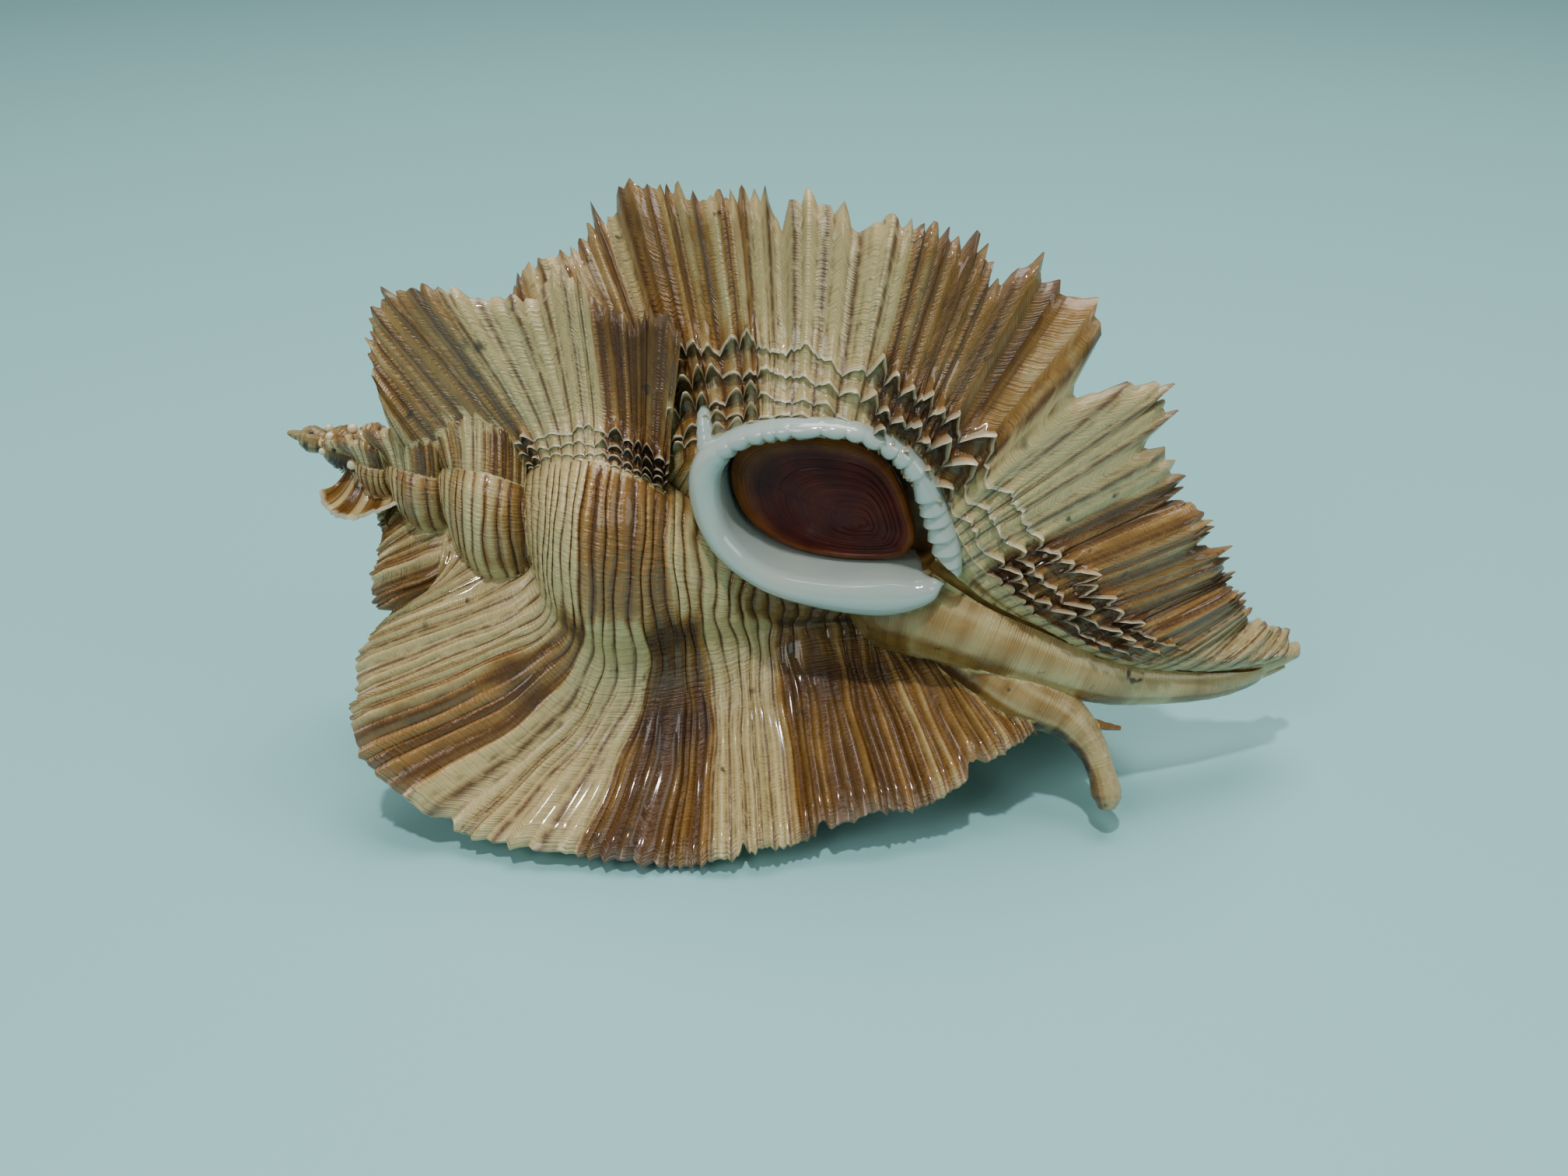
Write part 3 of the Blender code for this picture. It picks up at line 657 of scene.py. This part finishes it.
def makeTube(name, path, finish, sides, tone, endTone, stretch=1.0, rough=0.0, stained=0.0, spots=()):
    # a closed tube; the stain darkens patches of its lower side
    rings = tubeRings(path, sides, stretch, rough, len(path) + sides)
    count = len(rings)
    angles = np.arange(sides) * math.tau / sides
    random = np.random.RandomState(len(path))
    marks = np.zeros((count, sides, 4))
    low = np.clip(np.sin(angles + 0.35) - 0.55, 0.0, 1.0) * 2.2
    knots = np.arange(0, count + 4, 4)
    patchy = smoothStep(0.35, 0.6, np.interp(np.arange(count), knots, random.uniform(0.0, 1.0, len(knots))))
    marks[:, :, 1] = np.linspace(tone, endTone, count)[:, None] + stained * low[None, :] * patchy[:, None]
    marks[:, :, 1] += 0.06 * np.sin(angles * 9.0)[None, :] + 0.05 * np.sin(angles * 17.0 + 1.0)[None, :]
    for share, angle, width in spots:
        alongWay = (np.arange(count)[:, None] / count - share) / width
        roundWay = ((angles - angle + math.pi) % math.tau - math.pi)[None, :] / (6.0 * width)
        marks[:, :, 2] = np.maximum(marks[:, :, 2], 3.5 * np.exp(-alongWay ** 2 - roundWay ** 2))
    return makeMesh(name, rings, sweep(rings), finish, marks, 0.0, np.arange(count)[:, None] * 0.08)


def makeKnobs(finish):
    # the small rounded white knobs of the first whorls
    points, faces = [], []
    for x, y, z, radius in spire["knobs"]:
        path = [(x + radius * along, y, z, radius * wide) for along, wide in spire["knobShape"]]
        rings = tubeRings(path, 12, 1.0, 0.06, 3, 3)
        faces += [tuple(len(points) + corner for corner in face) for face in sweep(rings)]
        points += list(rings.reshape(-1, 3))
    marks = np.zeros((len(points), 4))
    marks[:, 3] = 1.0
    return makeMesh("knobs", np.array(points), faces, finish, marks)


def makeCup(finish):
    # a curved sheet, as loops that run down its inside and back up its outside
    shares = np.linspace(0.0, 1.0, cup["steps"])
    rim, root = onCurve(cupRim, shares), onCurve(cupRoot, shares)
    random = np.random.RandomState(9)
    rim = rim + random.uniform(-0.12, 0.12, rim.shape)
    middle = (rim + root) / 2.0 + np.array(cup["bulge"])
    heights = np.linspace(0.0, 1.0, cup["depth"])
    grid = np.stack([bezier(root, middle, rim, height) for height in heights], axis=1)
    normals = np.cross(np.gradient(grid, axis=0), np.gradient(grid, axis=1))
    normals = normals / np.linalg.norm(normals, axis=2, keepdims=True) * cup["half"]
    rings = np.concatenate((grid + normals, (grid - normals)[:, ::-1]), axis=1)
    marks = np.zeros(rings.shape[:2] + (4,))
    marks[:, :, 1] = 0.45 + 0.25 * np.sin(shares * 19.0)[:, None]
    # painted shade: darker toward the cup's root, strongly on its inside and weakly on its outside
    marks[:, :, 2] = np.concatenate((0.9 * (1.0 - heights), 0.3 * (1.0 - heights)[::-1]))[None, :]
    marks[:, cup["depth"] - 1:cup["depth"] + 1, 3] = 0.8
    return makeMesh("cup", rings, sweep(rings), finish, marks, shares[:, None] * 14.0)


def rollPoints(shares):
    table = [(i,) + lipRoll[i % len(lipRoll)] for i in range(-2, len(lipRoll) + 3)]
    values = onCurve(table, np.asarray(shares) * len(lipRoll))
    return values[:, :3], values[:, 3]


def rollCentre():
    return np.mean(np.array(lipRoll)[:, :3], axis=0)


def rollOutward(shares):
    middle, width = rollPoints(shares)
    along = rollPoints(np.asarray(shares) + 0.01)[0] - rollPoints(np.asarray(shares) - 0.01)[0]
    outward = unit(np.cross(along, np.array(lip["normal"])))
    sign = np.sign(dots(outward, middle - rollCentre()))
    return middle, width, outward * sign


def foldStrength(shares):
    # 1 along the outer lip, where the edge is folded, and 0 on the smooth inner lip
    return smoothStep(0.03, 0.08, shares) * (1.0 - smoothStep(0.49, 0.53, shares))


def foldWave(shares, stepped=0.0):
    # 1 on a fold of the outer lip, 0 in the crease; a stepped fold overlaps the next one
    turns = math.tau * shares
    uneven = shares + 0.0045 * np.sin(turns * 7.0) + 0.003 * np.sin(turns * 12.0 + 1.0)
    rounded = np.abs(np.cos(np.pi * uneven * lip["folds"])) ** 0.6
    along = (uneven * lip["folds"] + 0.5) % 1.0
    step = np.where(along < 0.86, 0.25 + 0.75 * (along / 0.86) ** 0.8, 1.0 - 0.75 * (along - 0.86) / 0.14)
    return rounded * (1.0 - stepped) + step * stepped


def makeLip(finish):
    shares = np.arange(lip["segments"]) / lip["segments"]
    middle, width, outward = rollOutward(shares)
    whole = smoothStep(0.24, 0.36, shares) * (1.0 - smoothStep(0.80, 1.0, shares))
    folded, wave = foldStrength(shares), foldWave(shares, whole)
    notch = 1.0 - 0.60 * np.exp(-((shares - 0.548) / 0.022) ** 2)
    slim = 1.0 - 0.20 * folded
    inward = smoothStep(0.56, 0.62, shares) + 1.0 - smoothStep(0.02, 0.08, shares)
    normal = np.array(lip["normal"])
    rings = np.zeros((len(shares), lip["sides"], 3))
    marks = np.zeros((len(shares), lip["sides"], 4))
    for j in range(lip["sides"]):
        angle = math.tau * j / lip["sides"]
        inner = 0.5 - 0.5 * math.cos(angle)
        reach = (0.42 * inner ** 1.5 + 0.12 * whole * inner) * (wave - 0.62) * folded
        across = width * notch * slim * math.cos(angle) - reach * inner
        up = lip["depth"] * notch * math.sin(angle) * (1.0 - 0.25 * whole)
        up = up * (1.0 + (0.08 + 0.26 * whole) * (wave - 0.7) * folded)
        if math.sin(angle) < 0.0:
            up = up * (1.0 + lip["innerDepth"] * inward)
            if math.cos(angle) < 0.0:
                upright = -width * notch * (1.0 + 0.04 * math.sin(angle))
                across = across * (1.0 - inward) + upright * inward
        rings[:, j] = middle + outward * across[:, None] + normal * up[:, None]
        # painted shade in the creases between the outer lip's folds
        marks[:, j, 2] = folded * (1.0 - wave) ** 3 * (inner * (1.0 - whole) + 0.8 * whole)
    return makeMesh("lipRoll", rings, sweep(rings, "joined"), finish, marks, 0.0, shares[:, None] * 10.0)


def openingOutline(inset, segments, folded):
    shares = np.arange(segments) / segments
    middle, width, outward = rollOutward(shares)
    fold = 0.24 * (foldWave(shares) - 0.8) * foldStrength(shares) if folded else np.zeros(segments)
    outline = middle - outward * (width * 0.8 + inset + fold)[:, None]
    normal, centre = np.array(lip["normal"]), rollCentre()
    return outline - normal * ((outline - centre) @ normal)[:, None]


def makePocket(finish):
    outline = openingOutline(0.0, 300, True)
    normal = np.array(lip["normal"])
    rings = np.stack((outline + normal * 8.0, outline - normal * lip["pocketDepth"]))
    return makeMesh("pocket", rings, sweep(rings), finish, np.zeros((2, len(outline), 4)))


def fuse(target, other, operation="UNION"):
    step = target.modifiers.new(other.name, "BOOLEAN")
    step.operation = operation
    step.solver = "MANIFOLD"
    step.material_mode = "TRANSFER"
    step.object = other
    activate(target)
    bpy.ops.object.modifier_apply(modifier=step.name)
    bpy.data.objects.remove(other)


def toWorld():
    # the turn from the shell's frame to the pose it lies in
    roll = Matrix.Rotation(math.radians(-view["roll"]), 4, "Z")
    return Matrix.Rotation(math.radians(90.0 - view["pitch"]), 4, "X") @ roll


def findShift():
    # the middle of the operculum's CAD box says where the shell's frame sits in the world
    low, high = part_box("operculum")
    middle = np.array(plate["middle"])
    return (np.array(low) + np.array(high)) / 2.0 - middle * millimetre


def place(piece, shift):
    # into the resting pose and metres, and no further out than the CAD model's box
    mesh = piece.data
    mesh.transform(Matrix.Translation(Vector(shift)) @ Matrix.Scale(millimetre, 4) @ toWorld())
    points = np.zeros(len(mesh.vertices) * 3)
    mesh.vertices.foreach_get("co", points)
    points = np.clip(points.reshape(-1, 3), np.array(cadBox[0]), np.array(cadBox[1]))
    mesh.vertices.foreach_set("co", points.ravel())
    mesh.update()


def newMaterial(name):
    material = bpy.data.materials.new(name)
    material.use_nodes = True
    return material, material.node_tree.nodes["Principled BSDF"]


def addNode(material, kind, **values):
    node = material.node_tree.nodes.new(kind)
    for name, value in values.items():
        setattr(node, name, value)
    return node


def feed(material, node, values):
    # numbers and colours are set on the node's inputs, and other nodes' results are linked to them
    for name, value in values.items():
        socket = node.inputs[name]
        if isinstance(value, (int, float)):
            socket.default_value = value
        elif isinstance(value, tuple):
            socket.default_value = (*value, 1.0)[:len(socket.default_value)]
        else:
            material.node_tree.links.new(value, socket)
    return node.outputs[0]


def maths(material, operation, *values, clamp=False):
    node = addNode(material, "ShaderNodeMath", operation=operation, use_clamp=clamp)
    return feed(material, node, dict(enumerate(values)))


def mixColour(material, share, first, second):
    # inputs 6 and 7 and output 2 are the node's colours
    node = addNode(material, "ShaderNodeMix", data_type="RGBA")
    feed(material, node, {0: share, 6: first, 7: second})
    return node.outputs[2]


def objectPlace(material):
    return addNode(material, "ShaderNodeTexCoord").outputs["Object"]


def cordPlace(material):
    # the phase across the cords, and both the phase and the length along them
    cords = addNode(material, "ShaderNodeUVMap", uv_map="cords").outputs[0]
    return feed(material, addNode(material, "ShaderNodeSeparateXYZ"), {0: cords}), cords


def attributeValue(material, name):
    return addNode(material, "ShaderNodeAttribute", attribute_name=name).outputs["Fac"]


def noise(material, vector, scale, detail=3.0, roughness=0.5):
    node = addNode(material, "ShaderNodeTexNoise")
    feed(material, node, {"Vector": vector, "Scale": scale, "Detail": detail, "Roughness": roughness})
    return node.outputs["Fac"]


def colourRamp(material, share, stops):
    node = addNode(material, "ShaderNodeValToRGB")
    ramp = node.color_ramp
    while len(ramp.elements) < len(stops):
        ramp.elements.new(0.5)
    for element, (position, colour) in zip(ramp.elements, stops):
        element.position = position
        element.color = (*colour, 1.0)
    return feed(material, node, {0: share})


def scaled(material, vector, scale):
    return feed(material, addNode(material, "ShaderNodeMapping"), {"Vector": vector, "Scale": scale})


def bumped(material, height, strength, distance):
    node = addNode(material, "ShaderNodeBump")
    return feed(material, node, {"Height": height, "Strength": strength, "Distance": distance})


shellColours = {
    "cream": (0.56, 0.435, 0.195),
    "tan": (0.310, 0.158, 0.034),
    "brown": (0.132, 0.060, 0.009),
    "darkBrown": (0.045, 0.015, 0.004),
    "line": (0.100, 0.036, 0.007),
    "white": (0.74, 0.68, 0.50),
    "dirt": (0.030, 0.024, 0.014),
}
shellGloss = {"Coat Weight": 0.6, "Coat Roughness": 0.08, "IOR": 1.5}


def shellTone(material, phase, cords, patches):
    # the colour bands, broken up by patches, by the cord and by streaks along the cords
    chance = addNode(material, "ShaderNodeTexWhiteNoise", noise_dimensions="1D")
    feed(material, chance, {"W": maths(material, "ROUND", phase)})
    streaks = noise(material, scaled(material, cords, (1.3, 4.0, 1.0)), 1.0, 4.0)
    tone = maths(material, "MULTIPLY_ADD", patches, 0.5, attributeValue(material, "tone"))
    tone = maths(material, "MULTIPLY_ADD", chance.outputs[0], 0.16, tone)
    tone = maths(material, "MULTIPLY_ADD", streaks, 0.40, tone)
    return maths(material, "SUBTRACT", tone, 0.53, clamp=True)


def shellGrooves(material, phase, cords):
    # brown lines between the main cords, and dotted ones between the fine cords of the wings
    onWing = maths(material, "MULTIPLY", attributeValue(material, "part"), 3.0, clamp=True)
    broken = noise(material, scaled(material, cords, (1.0, 5.0, 1.0)), 1.6, 3.0)
    lines = []
    for turn, sharpness, contrast, offset, strength in (
            (math.pi / 2.0, 14.0, 3.0, -0.55, 0.92), (math.pi, 9.0, 3.2, -1.25, 0.7)):
        line = maths(material, "SINE", maths(material, "MULTIPLY", phase, turn))
        line = maths(material, "POWER", maths(material, "ABSOLUTE", line), sharpness)
        dots = maths(material, "MULTIPLY_ADD", broken, contrast, offset, clamp=True)
        lines.append(maths(material, "MULTIPLY", maths(material, "MULTIPLY", line, dots), strength))
    return maths(material, "MAXIMUM", lines[0], maths(material, "MULTIPLY", lines[1], onWing))


def shellSpecks(material, place):
    fine = maths(material, "MULTIPLY_ADD", noise(material, place, 620.0, 2.0, 0.6), 16.0, -11.2, clamp=True)
    coarse = maths(material, "MULTIPLY_ADD", noise(material, place, 380.0, 2.0, 0.5), 13.0, -9.1, clamp=True)
    return maths(material, "MAXIMUM", fine, coarse)


def makeShellFinish():
    material, shader = newMaterial("shellLime")
    place = objectPlace(material)
    phase, cords = cordPlace(material)
    patches = noise(material, place, 160.0, 4.0)
    colour = colourRamp(material, shellTone(material, phase, cords, patches), (
        (0.0, shellColours["cream"]), (0.22, shellColours["cream"]), (0.48, shellColours["tan"]),
        (0.74, shellColours["brown"]), (1.0, shellColours["darkBrown"])))
    colour = mixColour(material, shellGrooves(material, phase, cords), colour, shellColours["line"])

    # painted shade and real dirt: this mark darkens the colour toward dark brown, more where the tone is
    # darker; it is shade in the hollows under the lamellae and inside the broken cup, and dirt spots on the
    # tubes
    shade = maths(material, "MULTIPLY_ADD", attributeValue(material, "tone"), 1.1, 0.12)
    paintedShadeAndDirt = maths(material, "MULTIPLY", attributeValue(material, "paintedShadeAndDirt"), shade, clamp=True)
    paintedShadeAndDirt = maths(material, "MULTIPLY", paintedShadeAndDirt, 0.95)
    colour = mixColour(material, paintedShadeAndDirt, colour, shellColours["darkBrown"])
    pale = maths(material, "MULTIPLY", attributeValue(material, "pale"), 0.75)
    colour = mixColour(material, pale, colour, shellColours["white"])
    specks = shellSpecks(material, place)
    colour = mixColour(material, maths(material, "MULTIPLY", specks, 0.85), colour, shellColours["dirt"])

    gloss = maths(material, "MULTIPLY_ADD", patches, 0.35, 0.12)
    gloss = maths(material, "MULTIPLY_ADD", specks, 0.3, gloss, clamp=True)
    lines = noise(material, scaled(material, cords, (0.35, 60.0, 1.0)), 1.0, 3.0)
    height = maths(material, "MULTIPLY_ADD", lines, 1.4, noise(material, place, 900.0, 3.0))
    normal = bumped(material, height, 0.7, 0.00026)
    feed(material, shader, {"Base Color": colour, "Roughness": gloss, "Normal": normal, **shellGloss})
    return material


lipGloss = {
    "Roughness": 0.12,
    "Coat Weight": 0.9,
    "Coat Roughness": 0.03,
    "Subsurface Weight": 0.15,
    "Subsurface Radius": (0.0012, 0.0009, 0.0007),
    "Subsurface Scale": 1.0,
}


def makeLipFinish():
    material, shader = newMaterial("lipPorcelain")
    patches = noise(material, objectPlace(material), 220.0, 3.0)
    # partly painted reflection: the warm off-white stop is the lip's own colour, and the aqua-grey stops
    # paint in the light reflected from the aqua floor and room
    colour = colourRamp(material, patches, (
        (0.3, (0.40, 0.50, 0.47)), (0.6, (0.47, 0.54, 0.49)), (0.9, (0.52, 0.49, 0.43))))
    # painted shade: the creases between the lip's folds are darkened toward grey-brown
    paintedCreaseShade = maths(material, "MULTIPLY", attributeValue(material, "paintedShadeAndDirt"), 0.8)
    colour = mixColour(material, paintedCreaseShade, colour, (0.36, 0.33, 0.26))
    feed(material, shader, {"Base Color": colour, **lipGloss})
    return material


def makeThroatFinish():
    material, shader = newMaterial("throatSkin")
    patches = noise(material, objectPlace(material), 700.0, 4.0)
    colour = colourRamp(material, patches, (
        (0.3, (0.10, 0.05, 0.012)), (0.55, (0.26, 0.15, 0.04)), (0.8, (0.42, 0.31, 0.12))))
    feed(material, shader, {"Base Color": colour, "Roughness": 0.45})
    return material


hornGloss = {"Roughness": 0.30, "Specular IOR Level": 0.22}


def makeHornFinish():
    # on the operculum, the phase is the share of the way from its nucleus to its rim
    material, shader = newMaterial("operculumHorn")
    share, rings = cordPlace(material)
    lines = noise(material, scaled(material, rings, (46.0, 1.2, 1.0)), 1.0, 3.0)
    patches = noise(material, objectPlace(material), 420.0, 4.0)
    tone = maths(material, "MULTIPLY_ADD", lines, 0.45, maths(material, "MULTIPLY", patches, 0.6))
    colour = colourRamp(material, tone, (
        (0.3, (0.020, 0.002, 0.002)), (0.5, (0.060, 0.006, 0.004)), (0.68, (0.105, 0.012, 0.006)),
        (0.85, (0.160, 0.032, 0.010))))
    rim = maths(material, "MULTIPLY_ADD", share, 7.0, -5.6, clamp=True)
    patchy = maths(material, "MULTIPLY_ADD", patches, 2.0, -0.3, clamp=True)
    colour = mixColour(material, maths(material, "MULTIPLY", rim, patchy), colour, (0.26, 0.075, 0.014))
    normal = bumped(material, lines, 0.5, 0.00015)
    feed(material, shader, {"Base Color": colour, "Normal": normal, **hornGloss})
    return material


horn = {
    "rings": 30,
    "spokes": 120,
    "nucleus": (0.30, -0.12),
    "outerGap": 0.80,
    "cornerGap": 1.0,
    "rounding": 26,
}


def plateOutline():
    # the plate's rim, further in along the outer lip and at the lower right corner, then rounded
    shares = np.arange(horn["spokes"]) / horn["spokes"]
    outline = openingOutline(plate["gap"], horn["spokes"], False)
    centre = outline.mean(axis=0)
    onOuterLip = smoothStep(0.08, 0.22, shares) * (1.0 - smoothStep(0.52, 0.60, shares))
    uneven = 1.0 + 0.10 * np.sin(shares * 61.0) + 0.06 * np.sin(shares * 133.0)
    corner = np.exp(-((shares - 0.57) / 0.075) ** 2) * horn["cornerGap"]
    inset = (horn["outerGap"] * onOuterLip * uneven + corner)[:, None]
    outline = outline + unit(centre - outline) * inset
    for turn in range(horn["rounding"]):
        outline = outline * 0.5 + (np.roll(outline, 1, axis=0) + np.roll(outline, -1, axis=0)) * 0.25
    return outline, centre


def makeOperculum(shift):
    # a thin plate of growth rings round a nucleus near its lower right end
    outline, centre = plateOutline()
    normal = np.array(lip["normal"])
    across = np.cross(np.array((0.0, 1.0, 0.0)), normal)
    across = across / np.linalg.norm(across)
    upward = np.cross(normal, across)
    size = np.abs((outline - centre) @ across).max()
    nucleus = centre + across * size * horn["nucleus"][0] + upward * size * horn["nucleus"][1]
    shares = np.arange(1, horn["rings"] + 1) / horn["rings"]
    dish = 0.30 * np.exp(-((shares - 0.72) / 0.16) ** 2) + 0.04 * np.sin(shares * 70.0)
    sunk = plate["recess"] + dish + 0.35 * smoothStep(0.9, 1.0, shares)
    spread = nucleus + (outline - nucleus) * shares[:, None, None]
    front = spread - normal * sunk[:, None, None]
    back = spread - normal * (plate["recess"] + plate["thickness"])
    grid = np.concatenate((back, front[::-1]))
    ringShares = np.concatenate((shares, shares[::-1]))[:, None]
    spokeShares = np.arange(horn["spokes"]) / horn["spokes"]
    marks = np.zeros(grid.shape[:2] + (4,))
    piece = makeMesh("operculum_plate", grid, sweep(grid), makeHornFinish(), marks, ringShares, spokeShares)
    place(piece, shift)
    smooth(piece, 40.0)
    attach(piece, "root")
    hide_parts("operculum")


def smooth(piece, angle):
    activate(piece)
    bpy.ops.object.shade_smooth_by_angle(angle=math.radians(angle))


def makeShell(shift):
    lime, porcelain, throat = makeShellFinish(), makeLipFinish(), makeThroatFinish()
    shell = makeStage(0, lime)
    for stage in range(1, growth["stageCount"]):
        fuse(shell, makeStage(stage, lime))
    print("wings and whorls fused:", len(shell.data.polygons))
    bend = onCurve(canalBend, [along for along, radius in canalRadii])
    canal = [(along, y, z, radius) for (along, radius), (y, z) in zip(canalRadii, bend)]
    cone = [(along, 0.0, 0.0, radius) for along, radius in spire["outline"]]
    limeTubes = [("canal", canal)] + [("canalProng", prong) for prong in canalProngs]
    limeTubes += [("oldCanal", oldCanal), ("oldSpike", oldSpike), ("spireTip", cone)]
    for name, path in limeTubes:
        fuse(shell, makeTube(name, path, lime, **tubes[name]))
    fuse(shell, makeKnobs(lime))
    fuse(shell, makeCup(lime))
    fuse(shell, makeTube("lipRidge", lipRidge, porcelain, **tubes["lipRidge"]))
    fuse(shell, makePocket(throat), "DIFFERENCE")
    fuse(shell, makeLip(porcelain))
    fuse(shell, makeTube("slit", canalSlit, throat, **tubes["slit"]), "DIFFERENCE")
    shell.name = "murex_shell"
    place(shell, shift)
    smooth(shell, 62.0)
    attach(shell, "root")
    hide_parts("shell")
    print("shell made:", sum(len(face.vertices) - 2 for face in shell.data.polygons), "triangles")


floor = {"size": 3.0, "height": -0.0002, "colour": (0.30, 0.61, 0.62), "roughness": 0.6}


def makeFloor():
    bpy.ops.mesh.primitive_plane_add(size=floor["size"], location=(0.0, 0.0, floor["height"]))
    plane = bpy.context.object
    plane.name = "paleFloor"
    material, shader = newMaterial("palePaper")
    feed(material, shader, {"Base Color": floor["colour"], "Roughness": floor["roughness"]})
    plane.data.materials.append(material)


# name, place, size, power, colour
lights = (
    ("topSoft", (0.05, 0.12, 0.55), 0.34, 2.3, (1.0, 0.98, 0.95)),
    ("frontSoft", (-0.30, -0.40, 0.42), 0.26, 1.15, (1.0, 0.97, 0.93)),
    ("rightSoft", (0.45, -0.20, 0.30), 0.25, 0.5, (1.0, 0.98, 0.95)),
    ("sparkle", (-0.04, -0.16, 0.50), 0.022, 1.3, (1.0, 1.0, 1.0)),
)
aim = Vector((0.0, 0.0, 0.015))
room = {"colour": (0.72, 0.88, 0.9, 1.0), "strength": 0.12}


def makeLights():
    for name, spot, size, power, colour in lights:
        bpy.ops.object.light_add(type="AREA", location=spot)
        lamp = bpy.context.object
        lamp.name = name
        lamp.data.size = size
        lamp.data.energy = power
        lamp.data.color = colour
        lamp.rotation_euler = (aim - Vector(spot)).to_track_quat("-Z", "Y").to_euler()
    world = bpy.data.worlds.new("softRoom")
    world.use_nodes = True
    background = world.node_tree.nodes["Background"]
    background.inputs[0].default_value = room["colour"]
    background.inputs[1].default_value = room["strength"]
    bpy.context.scene.world = world


def makeCamera(shift):
    width, height = view["imageSize"]
    pixelX, pixelY = view["apexPixel"]
    perPixel = view["distance"] / view["focalPixels"]
    apex = Vector(((pixelX - width / 2) * perPixel, (height / 2 - pixelY) * perPixel, 0.0))
    fromApex = Vector((0.0, 0.0, view["distance"])) - apex
    upright = Matrix.Rotation(math.radians(90.0 - view["pitch"]), 3, "X")
    bpy.ops.object.camera_add(location=Vector(shift) + upright @ fromApex * millimetre)
    camera = bpy.context.object
    camera.rotation_euler = (math.radians(90.0 - view["pitch"]), 0.0, 0.0)
    camera.data.sensor_width = view["sensor"]
    camera.data.lens = view["focalPixels"] / width * view["sensor"]
    camera.data.clip_start = 0.005
    bpy.context.scene.camera = camera


shift = findShift()
makeCamera(shift)
makeLights()
makeFloor()
makeShell(shift)
makeOperculum(shift)
